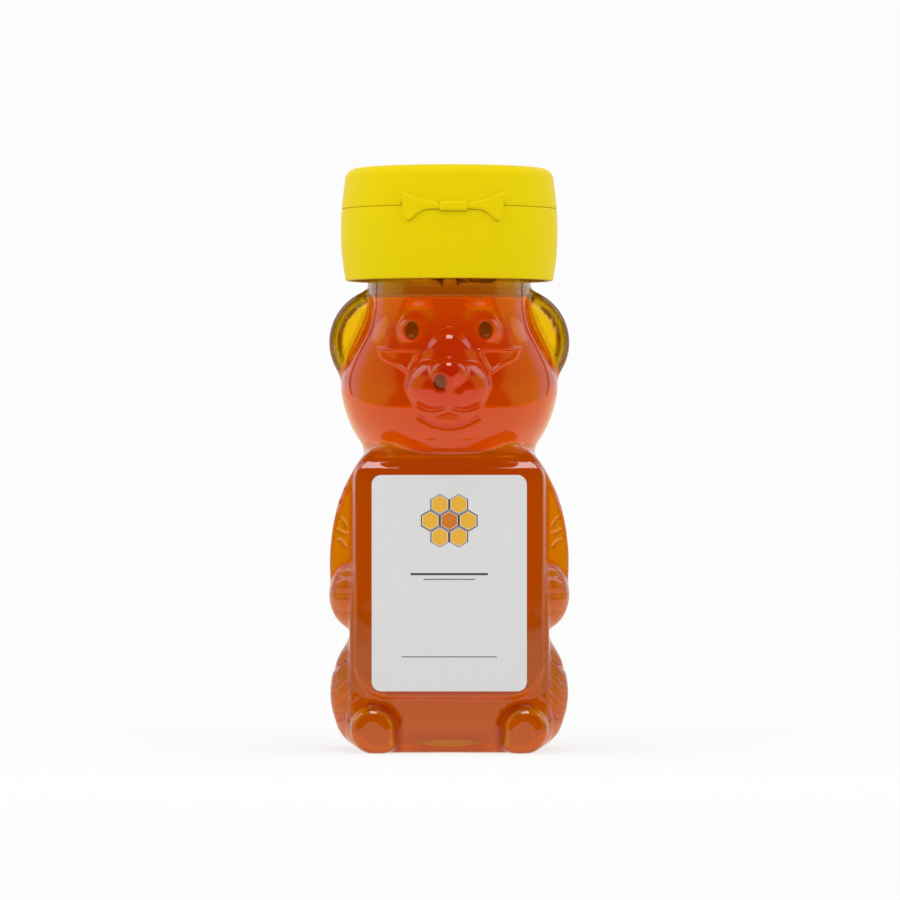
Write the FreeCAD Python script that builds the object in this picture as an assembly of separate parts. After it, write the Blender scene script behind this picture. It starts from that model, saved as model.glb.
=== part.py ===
"""Bear-shaped honey squeeze bottle with a flip-top screw cap. Millimetres, +Z up.

The origin is on the surface that the bottle stands on, under the axis of its neck, and the bear faces -Y.
Each piece is a solid of its own, written to parts/NODE.step.
"""
import FreeCAD, Part

import math
import os

from FreeCAD import Vector

# Bottle: torso, head and neck
wall = 0.8
torso_width = 44.6
torso_depth = 37.0
torso_height = 72.5
torso_corner_radius = 5.6
torso_top_radius = 5.4
torso_foot_radius = 2.0
head_width = 51.0
head_rise = 34.8
head_sink = 6.5
neck_ring_radius = 18.75
neck_ring_height = 4.7
neck_overlap = 1.2
finish_radius = 17.55
finish_height = 10.8
bore_radius = 15.6
bore_taper_height = 5.0
push_up_radius = 12.5
push_up_height = 3.0

# Honey: its level below the root of the neck, and the film between it and the wall
honey_neck_fill = 4.0
honey_gap = 0.06

# Front and back panels, and the label
panel_width = 44.0
panel_bottom_z = 13.0
panel_top_drop = 5.0
panel_rise = 0.8
panel_corner_radius = 6.6
panel_edge_radius = 0.6
panel_root = 6.0
label_width = 36.0
label_top_margin = 2.9
label_bottom_margin = 1.4
label_thickness = 0.15
label_corner_radius = 2.2

# Face: how far each ball sinks behind the surface that carries it
muzzle_radius = 11.5
muzzle_sink = 7.2
nose_radius = 4.6
nose_sink = 3.2
eye_radius = 5.2
eye_spacing = 17.6
eye_sink = 3.1

# Ears: a round rim with a thinner disc inside it
ear_radius = 11.6
ear_rim_radius = 3.8
ear_disc_thickness = 4.8
ear_sink = 8.4
ear_set_back = 2.5

# Arms: soft pads that lean outward from the shoulder to the paw, and paws between two balls
arm_width = 12.0
arm_depth = 17.0
arm_length = 37.0
arm_corner_radius = 8.2
arm_edge_radius = 5.4
arm_reach = 4.0
arm_set_back = 0.5
arm_middle_z = 47.5
arm_lean_degrees = 6.0
wrist_radius = 7.5
paw_radius = 7.8
paw_sink = 2.0
paw_set_forward = 7.0
paw_top_z = 39.5
paw_length = 4.4

# Legs and feet: soft pads that the standing surface cuts off
leg_width = 16.0
leg_depth = 31.0
leg_height = 26.0
leg_corner_radius = 11.5
leg_edge_radius = 7.4
leg_reach = 5.1
leg_set_forward = 3.5
leg_below_floor = 1.0
foot_width = 9.6
foot_depth = 14.0
foot_height = 13.2
foot_corner_radius = 6.0
foot_edge_radius = 4.4
foot_spacing = 34.2
foot_reach = 4.4
foot_below_floor = 2.0

# Screw thread between the neck and the cap
thread_pitch = 4.233
thread_turns = 1.15
thread_depth = 1.0
thread_root_width = 2.1
thread_crest_width = 1.1
thread_root_bury = 0.4
thread_clearance = 0.55
thread_below_rim = 2.0

# Cap base
base_height = 16.8
base_seam_radius = 25.35
base_belly_swell = 0.15
base_bottom_taper = 0.95
skirt_wall = 1.4
socket_wall = 1.2
socket_lift = 2.8
deck_thickness = 1.4
deck_drop = 1.8
collar_wall = 1.0
collar_rise = 1.2
spout_root_radius = 5.4
spout_tip_radius = 4.5
spout_height = 6.3
spout_bore_radius = 3.2
spout_mouth_chamfer = 0.4

# Seal liner between the neck's rim and the cap
liner_thickness = 1.0
liner_edge_clearance = 0.9
liner_inner_radius = 8.0

# Flip lid and the plug that closes the spout
lid_height = 9.4
lid_taper = 1.05
lid_edge_radius = 2.0
lid_crown = 0.4
lid_wall = 1.4
lid_roof = 1.3
parting_gap = 0.2
collar_clearance = 0.35
plug_reach = 2.5
plug_clearance = 0.12
plug_taper = 0.5
plug_wall = 1.1

# Bow on the lid's front edge, which is its thumb tab
bow_length = 23.4
bow_height = 6.6
bow_drop = 3.7
bow_proud = 0.35
bow_thickness = 0.95
bow_clearance = 0.25
knot_length = 6.4
knot_height = 2.5
knot_proud = 0.3

# Living hinge at the back of the cap
hinge_flat_depth = 0.45
hinge_web_width = 8.0
hinge_web_height = 3.0
hinge_web_thickness = 0.4

# How far a cutting tool runs past what it cuts, and how near a level an edge counts as on it
overrun = 1.0
edge_tolerance = 0.05

# Heights that follow
head_base_z = torso_height - head_sink
head_top_z = torso_height + head_rise
neck_ring_top_z = head_top_z + neck_ring_height
rim_z = neck_ring_top_z + finish_height
deck_under_z = rim_z + liner_thickness
deck_top_z = deck_under_z + deck_thickness
seam_z = deck_top_z + deck_drop
base_bottom_z = seam_z - base_height
socket_bottom_z = base_bottom_z + socket_lift
lid_bottom_z = seam_z + parting_gap
lid_top_z = lid_bottom_z + lid_height
roof_under_z = lid_top_z - lid_roof
spout_top_z = deck_top_z + spout_height
honey_level_z = head_top_z + honey_neck_fill
panel_top_z = torso_height - panel_top_drop
label_bottom_z = panel_bottom_z + label_bottom_margin
label_height = panel_top_z - label_top_margin - label_bottom_z
bow_bottom_z = seam_z - bow_drop

# Radii and depths that follow
socket_radius = finish_radius + thread_depth + thread_clearance
socket_outer_radius = socket_radius + socket_wall
liner_outer_radius = socket_radius - liner_edge_clearance
base_belly_radius = base_seam_radius + base_belly_swell
base_bottom_radius = base_seam_radius - base_bottom_taper
lid_top_radius = base_seam_radius - lid_taper
skirt_inner_radius = base_seam_radius - skirt_wall
lid_inner_radius = base_seam_radius - lid_wall
collar_outer_radius = lid_inner_radius - collar_clearance
collar_inner_radius = collar_outer_radius - collar_wall
bow_outer_radius = base_seam_radius + bow_proud
bow_inner_radius = bow_outer_radius - bow_thickness
panel_front_y = -torso_depth / 2 - panel_rise
hinge_flat_y = base_seam_radius - hinge_flat_depth
bulk = 2 * (torso_height + head_rise)

# Head outline: share of its height, then share of the swell from the neck's radius to the cheeks
jaw_shares = ((0.024, -0.79), (0.125, 0.089), (0.484, 1.0))
cheek_shares = ((0.484, 1.0), (0.615, 0.873), (0.726, 0.533))
temple_shares = ((0.726, 0.533), (0.86, 0.132), (1.0, 0.0))

# Where the face and ears sit, as shares of the head's height, and the swell of the head there
muzzle_height_share = 0.43
nose_height_share = 0.52
eye_height_share = 0.765
eye_swell_share = 0.42
ear_height_share = 0.715

# Right half of the bow: shares of half its length outward and of its height upward
bow_top_shares = ((0.0, 0.62), (0.58, 0.71), (1.0, 1.0))
bow_bulb_shares = ((0.99, 0.26), (0.90, 0.0), (0.81, 0.11))
bow_under_shares = ((0.81, 0.11), (0.62, 0.33), (0.0, 0.38))
knot_middle_share = 0.5

UP = Vector(0, 0, 1)
BACK = Vector(0, 1, 0)
RIGHT = Vector(1, 0, 0)
ORIGIN = Vector()


def at(x, z):
    """A point of the XZ plane."""
    return Vector(x, 0, z)


def line(start, end):
    return Part.LineSegment(start, end).toShape()


def arc(start, middle, end):
    return Part.Arc(start, middle, end).toShape()


def turned(edges):
    """A solid of revolution about Z from edges in the XZ plane."""
    return Part.Face(Part.Wire(edges)).revolve(ORIGIN, UP, 360)


def cylinder(radius, low_z, high_z):
    return Part.makeCylinder(radius, high_z - low_z, at(0, low_z))


def cone(low_radius, high_radius, low_z, high_z):
    return Part.makeCone(low_radius, high_radius, high_z - low_z, at(0, low_z))


def ring(outer_radius, inner_radius, low_z, high_z):
    bore = cylinder(inner_radius, low_z - overrun, high_z + overrun)
    return cylinder(outer_radius, low_z, high_z).cut(bore)


def both_sides(form):
    """A form on the +X side and its mirror image."""
    return [form, form.mirror(ORIGIN, RIGHT)]


def edges_at(shape, level, axis):
    """The edges that lie wholly at one level along the axis X, Y or Z."""
    found = []
    for edge in shape.Edges:
        low = getattr(edge.BoundBox, axis + "Min")
        high = getattr(edge.BoundBox, axis + "Max")
        if max(abs(low - level), abs(high - level)) < edge_tolerance:
            found.append(edge)
    return found


def edges_along(shape, direction):
    """The straight edges that run along a direction."""
    return [e for e in shape.Edges if abs(e.tangentAt(e.FirstParameter).dot(direction)) > math.cos(1)]


def soft_pad(size, corner_radius, edge_radius, inset):
    """A pad round the origin that lies in the YZ plane, with round corners and rounder edges."""
    width, depth, height = [length - 2 * inset for length in size]
    pad = Part.makeBox(width, depth, height, Vector(-width / 2, -depth / 2, -height / 2))
    pad = pad.makeFillet(corner_radius - inset, edges_along(pad, RIGHT))
    rims = edges_at(pad, -width / 2, "X") + edges_at(pad, width / 2, "X")
    return pad.makeFillet(edge_radius - inset, rims)


def limb(low, low_radius, high, high_radius):
    """Two balls and the taper that joins them."""
    run = high - low
    lean = math.asin((low_radius - high_radius) / run.Length)
    low_middle = (lean - math.pi / 2) / 2
    high_middle = (lean + math.pi / 2) / 2
    low_end = at(low_radius * math.cos(lean), low_radius * math.sin(lean))
    high_end = at(high_radius * math.cos(lean), run.Length + high_radius * math.sin(lean))
    low_half = at(low_radius * math.cos(low_middle), low_radius * math.sin(low_middle))
    high_half = at(high_radius * math.cos(high_middle), run.Length + high_radius * math.sin(high_middle))
    top = at(0, run.Length + high_radius)
    bottom = at(0, -low_radius)
    form = turned([
        arc(bottom, low_half, low_end),
        line(low_end, high_end),
        arc(high_end, high_half, top),
        line(top, bottom),
    ])
    form.Placement = FreeCAD.Placement(low, FreeCAD.Rotation(UP, run))
    return form


def rounded_plate(width, thickness, height, corner_radius, low_z, front_y):
    """An upright plate with round corners, whose front face is at front_y."""
    plate = Part.makeBox(width, thickness, height, Vector(-width / 2, front_y, low_z))
    return plate.makeFillet(corner_radius, edges_along(plate, BACK))


def torso(inset):
    width = torso_width - 2 * inset
    depth = torso_depth - 2 * inset
    top_z = torso_height - inset
    block = Part.makeBox(width, depth, top_z - inset, Vector(-width / 2, -depth / 2, inset))
    block = block.makeFillet(torso_corner_radius - inset, edges_along(block, UP))
    block = block.makeFillet(torso_top_radius - inset, edges_at(block, top_z, "Z"))
    return block.makeFillet(torso_foot_radius - inset, edges_at(block, inset, "Z"))


def panels(inset):
    """The flat plateaus on the front and back of the torso."""
    plate = rounded_plate(
        panel_width - 2 * inset,
        panel_root,
        panel_top_z - panel_bottom_z - 2 * inset,
        panel_corner_radius - inset,
        panel_bottom_z + inset,
        panel_front_y + inset,
    )
    if inset == 0:
        plate = plate.makeFillet(panel_edge_radius, edges_at(plate, panel_front_y, "Y"))
    return [plate, plate.mirror(ORIGIN, BACK)]


def head_z(share):
    return head_base_z + share * (head_top_z - head_base_z)


def head_radius(swell_share):
    return neck_ring_radius + swell_share * (head_width / 2 - neck_ring_radius)


def head(inset):
    jaw = [at(head_radius(s) - inset, head_z(h)) for h, s in jaw_shares]
    cheek = [at(head_radius(s) - inset, head_z(h)) for h, s in cheek_shares]
    temple = [at(head_radius(s) - inset, head_z(h)) for h, s in temple_shares]
    bottom = at(0, jaw[0].z)
    top = at(0, temple[-1].z)
    return turned([
        line(bottom, jaw[0]),
        arc(*jaw),
        arc(*cheek),
        arc(*temple),
        line(temple[-1], top),
        line(top, bottom),
    ])


def face(inset):
    """Muzzle, nose and eyes."""
    muzzle_y = -head_width / 2 + muzzle_sink
    nose_y = muzzle_y - muzzle_radius + nose_sink
    eye_x = eye_spacing / 2
    eye_y = -math.sqrt(head_radius(eye_swell_share) ** 2 - eye_x**2) + eye_sink
    muzzle = Part.makeSphere(muzzle_radius - inset, Vector(0, muzzle_y, head_z(muzzle_height_share)))
    nose = Part.makeSphere(nose_radius - inset, Vector(0, nose_y, head_z(nose_height_share)))
    eye = Part.makeSphere(eye_radius - inset, Vector(eye_x, eye_y, head_z(eye_height_share)))
    return [muzzle, nose, *both_sides(eye)]


def ears(inset):
    centre = Vector(head_width / 2 - ear_sink, ear_set_back, head_z(ear_height_share))
    rim_path_radius = ear_radius - ear_rim_radius
    thickness = ear_disc_thickness - 2 * inset
    rim = Part.makeTorus(rim_path_radius, ear_rim_radius - inset, centre, BACK)
    disc = Part.makeCylinder(rim_path_radius, thickness, centre - BACK * thickness / 2, BACK)
    return both_sides(rim.fuse(disc))


def limbs(inset):
    side_x = torso_width / 2
    front_y = -torso_depth / 2
    paw_x = side_x - paw_sink
    arm = soft_pad((arm_width, arm_depth, arm_length), arm_corner_radius, arm_edge_radius, inset)
    arm.rotate(ORIGIN, BACK, -arm_lean_degrees)
    arm.translate(Vector(side_x + arm_reach - arm_width / 2, arm_set_back, arm_middle_z))
    paw = limb(
        Vector(paw_x, -paw_set_forward, paw_top_z - paw_length),
        paw_radius - inset,
        Vector(paw_x, -paw_set_forward, paw_top_z),
        wrist_radius - inset,
    )
    leg = soft_pad((leg_width, leg_depth, leg_height), leg_corner_radius, leg_edge_radius, inset)
    leg_x = side_x + leg_reach - leg_width / 2
    leg.translate(Vector(leg_x, -leg_set_forward, leg_height / 2 - leg_below_floor))
    foot = soft_pad((foot_width, foot_depth, foot_height), foot_corner_radius, foot_edge_radius, inset)
    foot_y = front_y - foot_reach + foot_depth / 2
    foot.translate(Vector(foot_spacing / 2, foot_y, foot_height / 2 - foot_below_floor))
    return [side for form in (arm, paw, leg, foot) for side in both_sides(form)]


def bear(inset):
    """The bear below its neck, every surface taken in by inset, standing flat on its base."""
    forms = [*panels(inset), head(inset), *face(inset), *ears(inset), *limbs(inset)]
    body = torso(inset).multiFuse(forms)
    floor = Part.makeBox(2 * bulk, 2 * bulk, bulk, Vector(-bulk, -bulk, inset - bulk))
    dome_radius = (push_up_radius**2 + push_up_height**2) / (2 * push_up_height)
    dome = Part.makeSphere(dome_radius + inset, at(0, push_up_height - dome_radius))
    return body.cut(floor).cut(dome)


def thread_ridge(root_radius, crest_radius, start_z):
    """One helical ridge, buried a little in the wall that it stands on."""
    outward = math.copysign(1, crest_radius - root_radius)
    buried_radius = root_radius - outward * thread_root_bury
    profile = Part.makePolygon([
        at(buried_radius, -thread_root_width / 2),
        at(crest_radius, -thread_crest_width / 2),
        at(crest_radius, thread_crest_width / 2),
        at(buried_radius, thread_root_width / 2),
        at(buried_radius, -thread_root_width / 2),
    ])
    path = Part.Wire(Part.makeHelix(thread_pitch, thread_pitch * thread_turns, root_radius))
    ridge = path.makePipeShell([profile], True, True)
    ridge.translate(at(0, start_z))
    return ridge


def neck_thread_z():
    """Where the neck's ridge starts, so that it ends below the rim."""
    return rim_z - thread_below_rim - thread_root_width / 2 - thread_pitch * thread_turns


def neck_hollow(inset):
    """The inside of the neck: a taper up from the head, then the straight bore."""
    low_z = head_top_z - neck_overlap
    taper_top_z = low_z + bore_taper_height
    taper = cone(neck_ring_radius - wall - inset, bore_radius - inset, low_z, taper_top_z)
    return taper.fuse(cylinder(bore_radius - inset, taper_top_z, rim_z + overrun))


def bottle_shell():
    outside = bear(0).fuse(cylinder(neck_ring_radius, head_top_z - neck_overlap, neck_ring_top_z))
    outside = outside.fuse(cylinder(finish_radius, neck_ring_top_z, rim_z))
    outside = outside.fuse(thread_ridge(finish_radius, finish_radius + thread_depth, neck_thread_z()))
    return outside.cut(bear(wall).fuse(neck_hollow(0)))


def honey_fill():
    """The honey, which fills the bottle up into its neck."""
    inside = bear(wall + honey_gap).fuse(neck_hollow(honey_gap))
    air = Part.makeBox(2 * bulk, 2 * bulk, bulk, Vector(-bulk, -bulk, honey_level_z))
    return inside.cut(air)


def front_label():
    return rounded_plate(
        label_width,
        label_thickness,
        label_height,
        label_corner_radius,
        label_bottom_z,
        panel_front_y - label_thickness,
    )


def seal_liner():
    return ring(liner_outer_radius, liner_inner_radius, rim_z, deck_under_z)


def bow_point(shares, grow):
    """A point of the bow's right half, moved outward by grow."""
    x = shares[0] * bow_length / 2
    z = bow_bottom_z + shares[1] * bow_height
    under = shares[1] < knot_middle_share
    inward = under and shares[0] < bow_bulb_shares[1][0]
    sideways = 0 if shares[0] == 0 else grow
    if inward:
        sideways = -sideways
    upward = -grow if under else grow
    return at(x + sideways, z + upward)


def bow_plate(grow):
    """The bow's outline carried forward through the front of the cap, grown all round by grow."""
    top = [bow_point(p, grow) for p in bow_top_shares]
    bulb = [bow_point(p, grow) for p in bow_bulb_shares]
    under = [bow_point(p, grow) for p in bow_under_shares]
    outline = [
        arc(*top),
        line(top[-1], bulb[0]),
        arc(*bulb),
        arc(*under),
        line(under[-1], top[0]),
    ]
    reach = Vector(0, -2 * base_seam_radius, 0)
    half = Part.Face(Part.Wire(outline)).extrude(reach)
    return half.fuse(half.mirror(ORIGIN, RIGHT))


def knot_plate(grow):
    """The knot in the middle of the bow, as a block that passes through the front of the cap."""
    middle_z = bow_bottom_z + knot_middle_share * bow_height
    width = knot_length + 2 * grow
    height = knot_height + 2 * grow
    reach = 2 * base_seam_radius
    return Part.makeBox(width, reach, height, Vector(-width / 2, -reach, middle_z - height / 2))


def hinge_flat():
    """The block that takes a flat off the back of the base and the lid for the hinge web."""
    low_z = seam_z + parting_gap / 2 - hinge_web_height / 2 - parting_gap
    height = hinge_web_height + 2 * parting_gap
    return Part.makeBox(
        base_seam_radius, base_seam_radius, height, Vector(-base_seam_radius / 2, hinge_flat_y, low_z)
    )


def living_hinge():
    low_z = seam_z + parting_gap / 2 - hinge_web_height / 2
    return Part.makeBox(
        hinge_web_width,
        hinge_web_thickness,
        hinge_web_height,
        Vector(-hinge_web_width / 2, hinge_flat_y, low_z),
    )


def cap_base():
    skirt = turned([
        line(at(0, base_bottom_z), at(base_bottom_radius, base_bottom_z)),
        arc(
            at(base_bottom_radius, base_bottom_z),
            at(base_belly_radius, (base_bottom_z + seam_z) / 2),
            at(base_seam_radius, seam_z),
        ),
        line(at(base_seam_radius, seam_z), at(0, seam_z)),
        line(at(0, seam_z), at(0, base_bottom_z)),
    ])
    below_z = base_bottom_z - overrun
    skirt_low_radius = skirt_inner_radius + base_bottom_radius - base_seam_radius
    under = cone(skirt_low_radius, skirt_inner_radius, below_z, deck_under_z)
    socket = ring(socket_outer_radius, socket_radius, socket_bottom_z, deck_under_z)
    tray = cylinder(collar_inner_radius, deck_top_z, seam_z + overrun)
    collar = ring(collar_outer_radius, collar_inner_radius, deck_top_z, seam_z + collar_rise)
    spout = cone(spout_root_radius, spout_tip_radius, deck_top_z - deck_thickness, spout_top_z)
    bore = cylinder(spout_bore_radius, deck_under_z - overrun, spout_top_z + overrun)
    mouth_radius = spout_bore_radius + spout_mouth_chamfer
    mouth = cone(spout_bore_radius, mouth_radius, spout_top_z - spout_mouth_chamfer, spout_top_z)
    ridge_z = neck_thread_z() - thread_pitch / 2
    ridge = thread_ridge(socket_radius, socket_radius - thread_depth, ridge_z)
    pocket = bow_plate(bow_clearance).fuse(knot_plate(bow_clearance))
    pocket = pocket.cut(cylinder(bow_inner_radius - bow_clearance, base_bottom_z, lid_top_z))
    base = skirt.cut(under).cut(tray).fuse(collar).fuse(spout).cut(bore).cut(mouth)
    base = base.fuse(socket.fuse(ridge))
    return base.cut(pocket).cut(hinge_flat())


def flip_lid():
    top_edge = at(lid_top_radius, lid_top_z)
    top_middle = at(0, lid_top_z + lid_crown)
    crown_half = at(lid_top_radius / 2, lid_top_z + lid_crown * 3 / 4)
    outside = turned([
        line(at(0, lid_bottom_z), at(base_seam_radius, lid_bottom_z)),
        line(at(base_seam_radius, lid_bottom_z), top_edge),
        arc(top_edge, crown_half, top_middle),
        line(top_middle, at(0, lid_bottom_z)),
    ])
    outside = outside.makeFillet(lid_edge_radius, edges_at(outside, lid_top_z, "Z"))
    inside = cone(lid_inner_radius, lid_top_radius - lid_wall, lid_bottom_z - overrun, roof_under_z)
    plug_top_radius = spout_bore_radius - plug_clearance
    plug_tip_z = spout_top_z - plug_reach
    plug = cone(plug_top_radius - plug_taper, plug_top_radius, plug_tip_z, spout_top_z)
    plug = plug.fuse(cylinder(plug_top_radius, spout_top_z, lid_top_z - lid_roof / 2))
    plug = plug.cut(cylinder(plug_top_radius - plug_wall, plug_tip_z - overrun, roof_under_z))
    bow = bow_plate(0).common(ring(bow_outer_radius, bow_inner_radius, base_bottom_z, lid_top_z))
    knot_ring = ring(bow_outer_radius + knot_proud, bow_inner_radius, base_bottom_z, lid_top_z)
    knot = knot_plate(0).common(knot_ring)
    return outside.cut(inside).cut(hinge_flat()).fuse(plug).fuse(bow).fuse(knot)


def main():
    os.makedirs("parts", exist_ok=True)
    pieces = {
        "bottle_shell": bottle_shell(),
        "honey_fill": honey_fill(),
        "front_label": front_label(),
        "seal_liner": seal_liner(),
        "cap_base": cap_base(),
        "living_hinge": living_hinge(),
        "flip_lid": flip_lid(),
    }
    for node, shape in pieces.items():
        shape.exportStep(f"parts/{node}.step")
        print(node, shape.isValid(), len(shape.Solids), round(shape.Volume, 1))


main()
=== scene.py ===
import math
from collections import namedtuple

import bpy
import numpy as np
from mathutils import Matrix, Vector


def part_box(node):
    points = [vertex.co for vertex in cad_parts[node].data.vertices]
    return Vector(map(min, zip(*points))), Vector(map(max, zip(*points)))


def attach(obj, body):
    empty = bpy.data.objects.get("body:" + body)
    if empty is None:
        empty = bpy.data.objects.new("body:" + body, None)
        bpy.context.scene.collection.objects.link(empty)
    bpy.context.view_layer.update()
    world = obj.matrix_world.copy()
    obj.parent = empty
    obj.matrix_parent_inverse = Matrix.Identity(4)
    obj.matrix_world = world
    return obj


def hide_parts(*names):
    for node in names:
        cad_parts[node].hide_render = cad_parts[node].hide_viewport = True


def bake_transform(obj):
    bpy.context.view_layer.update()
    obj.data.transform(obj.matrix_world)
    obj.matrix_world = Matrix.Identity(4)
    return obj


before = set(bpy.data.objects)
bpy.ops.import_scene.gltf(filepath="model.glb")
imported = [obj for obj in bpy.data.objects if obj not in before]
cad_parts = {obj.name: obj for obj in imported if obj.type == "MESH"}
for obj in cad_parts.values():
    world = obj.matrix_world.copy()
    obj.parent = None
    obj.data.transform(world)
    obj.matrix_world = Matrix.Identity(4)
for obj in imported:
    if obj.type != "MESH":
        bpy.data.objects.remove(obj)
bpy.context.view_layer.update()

bl_info = {
    "name": "Honey Bear Bottle",
    "version": (1, 0, 0),
    "blender": (4, 5, 0),
    "location": "View3D > Sidebar > Honey Bear",
    "description": "Dresses the packed frame of a bear-shaped honey bottle with a flip-top cap",
    "category": "Object",
}

# Sizes below are in millimetres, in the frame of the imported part: the bear faces -Y and stands on Z 0.
MM = 0.001

Ball = namedtuple("Ball", "centre radii")
Pad = namedtuple("Pad", "centre half corner edge")
Groove = namedtuple("Groove", "points width depth")
Patch = namedtuple("Patch", "outline depth soft")
Spot = namedtuple("Spot", "centre radii depth soft")

# Bottle: the torso, its front and back panels, and the head turned about the neck's axis
WALL = 1.05
FILM = 0.06
TORSO = Pad((0, 0, 36.25), (22.4, 18.4, 36.25), 1.8, 10.0)
TORSO_FLARE = 0.8
TORSO_FLARE_Z = (30.0, 46.0)
TORSO_SETBACK = 0.9
TORSO_SETBACK_Z = (60.0, 67.0)
SHOULDER_TOP = 70.4
SHOULDER_EDGE = 1.2
BASE_EDGE = 2.0
BASE_SIDE_EDGE = 5.5
BASE_SIDE_X = (15.0, 22.0)
PANEL_HALF_WIDTH = 22.0
PANEL_LOW = 12.6
PANEL_HIGH = 68.1
PANEL_FACE = 19.3
PANEL_ROOT = 9.0
PANEL_TOP_CORNER = 4.5
PANEL_LOW_CORNER = 8.0
PANEL_EDGE = 1.0
PANEL_BEVEL = 2.2
PANEL_BEVEL_LEAN = 0.73
PANEL_BEVEL_EDGE = 0.3
HEAD_OUTLINE = (
    (63.0, 8.5), (67.5, 16.4), (71.0, 19.9), (74.0, 22.0), (78.0, 23.9), (82.3, 25.15), (86.2, 25.55),
    (90.0, 24.7), (95.6, 22.4), (100.0, 20.4), (103.5, 19.35), (106.0, 19.1), (108.0, 19.05), (110.0, 19.0),
    (114.0, 18.95),
)
NECK_RING_TOP = 112.0
NECK_RING_EDGE = 0.7
NECK_BEADS = (106.9, 109.2)
NECK_BEAD_HEIGHT = 0.16
NECK_BEAD_WIDTH = 0.55
HEAD_CUT = 0.3
HEAD_CUT_EDGE = 0.6
HONEY_LEVEL = 111.3
FACE_DROP = 5.0
FACE_DROP_FACING = (0.1, 0.85)
FACE_DROP_START_Z = (70.0, 80.0)
FACE_DROP_END_Z = (85.0, 98.0)
PUSH_UP = Ball((0, 0, -44.0), (45.5, 45.5, 45.5))

# Face, ears and limbs on the +X side
SNOUT = Ball((0, -16.8, 88.0), (8.5, 9.0, 12.0))
MUZZLE = Ball((-0.2, -18.8, 84.6), (10.6, 10.8, 8.7))
NOSE = Ball((-0.1, -26.2, 87.5), (4.7, 4.6, 4.2))
EYE = Ball((7.9, -16.3, 97.5), (4.2, 4.2, 5.0))
EAR = Pad((15.5, 2.5, 95.8), (12.8, 6.0, 12.8), 12.8, 3.2)
EAR_CUP = (10.2, 0.9, 2.0)
ARM = Ball((14.0, 0.5, 44.0), (14.0, 8.5, 27.0))
ARM_EDGE = 1.2
ARM_LOW = 30.5
PAW = Ball((21.5, -8.5, 36.6), (6.6, 8.0, 8.3))
LEG = Ball((8.5, -2.5, 13.8), (19.3, 14.5, 19.3))
LEG_EDGE = 7.0
ROUGH_ARM = Ball((ARM.centre[0], ARM.centre[1], 48.0), (14.0, 10.5, 19.0))
ROUGH_LEG = Ball((13.0, LEG.centre[1], 12.5), (14.5, 17.0, 13.5))
FOOT = Pad((17.6, -15.4, 3.9), (5.3, 7.2, 6.7), 5.0, 3.0)

# How far neighbouring forms melt into each other, and where along X some melt more
SNOUT_MELT = 0.8
NOSE_MELT = 0.5
EYE_MELT = 0.6
PANEL_MELT = 0.4
CHIN_MELT = 0.8
SHOULDER_MELT = 3.2
SHOULDER_MELT_X = (8.0, 15.0)
EAR_MELT = 1.5
PAW_MELT = 0.8
LEG_MELT = 1.0
FOOT_MELT = 1.0
FOOT_SIDE_MELT = 3.5
FOOT_SIDE_X = (18.5, 22.5)
LIMB_MELT = 1.5

# Face details as seen from the front, in X and Z
SOCKET = Patch(
    ((13.6, 94.8), (13.0, 97.4), (11.8, 100.4), (9.8, 103.2), (6.9, 104.2),
     (4.0, 103.0), (2.4, 99.6), (3.0, 96.6), (4.8, 94.9), (7.5, 94.2)), 0.55, 4.0)
CHEEK = Patch(
    ((16.3, 93.9), (7.0, 93.5), (8.6, 90.4), (9.7, 88.4), (12.0, 90.2), (15.4, 91.8)), 0.4, 0.8)
CHEEK_BEAD = 0.5
CHEEK_BEAD_WIDTH = 0.36
FACE_FRONT_Y = -6
# Not pressed into the form: only the crescent above each eye where a painted highlight is laid
EYELID = Groove(((4.1, 101.6), (7.4, 105.2), (10.7, 101.6)), 0.85, 1.0)
PUPILS = (Spot((-8.7, 98.25), (1.63, 2.2), 0.4, 0.5), Spot((8.4, 98.3), (1.63, 2.2), 0.4, 0.5))
NOSTRILS = (Spot((-2.1, 86.0), (1.6, 2.0), 0.3, 1.2), Spot((2.3, 85.7), (1.1, 1.9), 0.5, 1.0))
MOUTH = (
    Groove(((-6.95, 80.8), (-4.3, 78.9), (-1.38, 80.2)), 0.6, 0.65),
    Groove(((0.95, 80.2), (3.8, 78.9), (6.5, 80.8)), 0.6, 0.65),
    Groove(((-7.1, 78.1), (-0.2, 73.2), (6.7, 77.9)), 0.75, 0.75),
)
LIP = Patch(((-2.9, 77.7), (-0.2, 79.0), (2.65, 77.7)), 0.5, 0.6)

# Colours painted on the clear wall, as shares of the plain plastic's colour: mostly painted shade, with
# painted light above the eyes and some shifts in hue
# Painted shade and a shift in hue: the head loses green above the chin, so the lower head stays lighter
HEAD_TINT_AND_SHADE = (1.0, 0.38, 1.0)
# Painted highlight: the plain, lighter colour laid back on a crescent above each eye
EYELID_HIGHLIGHT = (1.0, 1.0, 1.0)
# Painted shade: everything below the head darker, as though less light comes through from behind
TORSO_SHADE = (0.66, 0.50, 0.92)
PANEL_TOP_TINT = (0.60, 0.32, 0.92)
# Painted shade: the lower panel darker, as where the floor behind lies in the bottle's shadow
PANEL_LOW_SHADE = (0.52, 0.52, 0.92)
# Painted shade: a dark patch low in the middle of the base, the push-up dome's shadow
BASE_SHADE = (0.42, 0.26, 0.60)
ARM_TINT = (0.88, 0.33, 1.0)
PAW_BACK_TINT = (0.80, 0.50, 0.02)
# Painted shade in the fur grooves on the arms
FUR_GROOVE_SHADE = (0.40, 0.14, 0.30)
FOOT_TINT = (0.72, 0.90, 0.90)
# Painted shade: a dark band on the foot's inner and upper rounding
FOOT_EDGE_SHADE = (0.30, 0.05, 0.06)
NECK_TINT = (0.58, 0.80, 0.80)
NECK_SIDE_TINT = (0.30, 0.38, 0.42)
EAR_TINT = (1.0, 0.87, 0.55)
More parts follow.
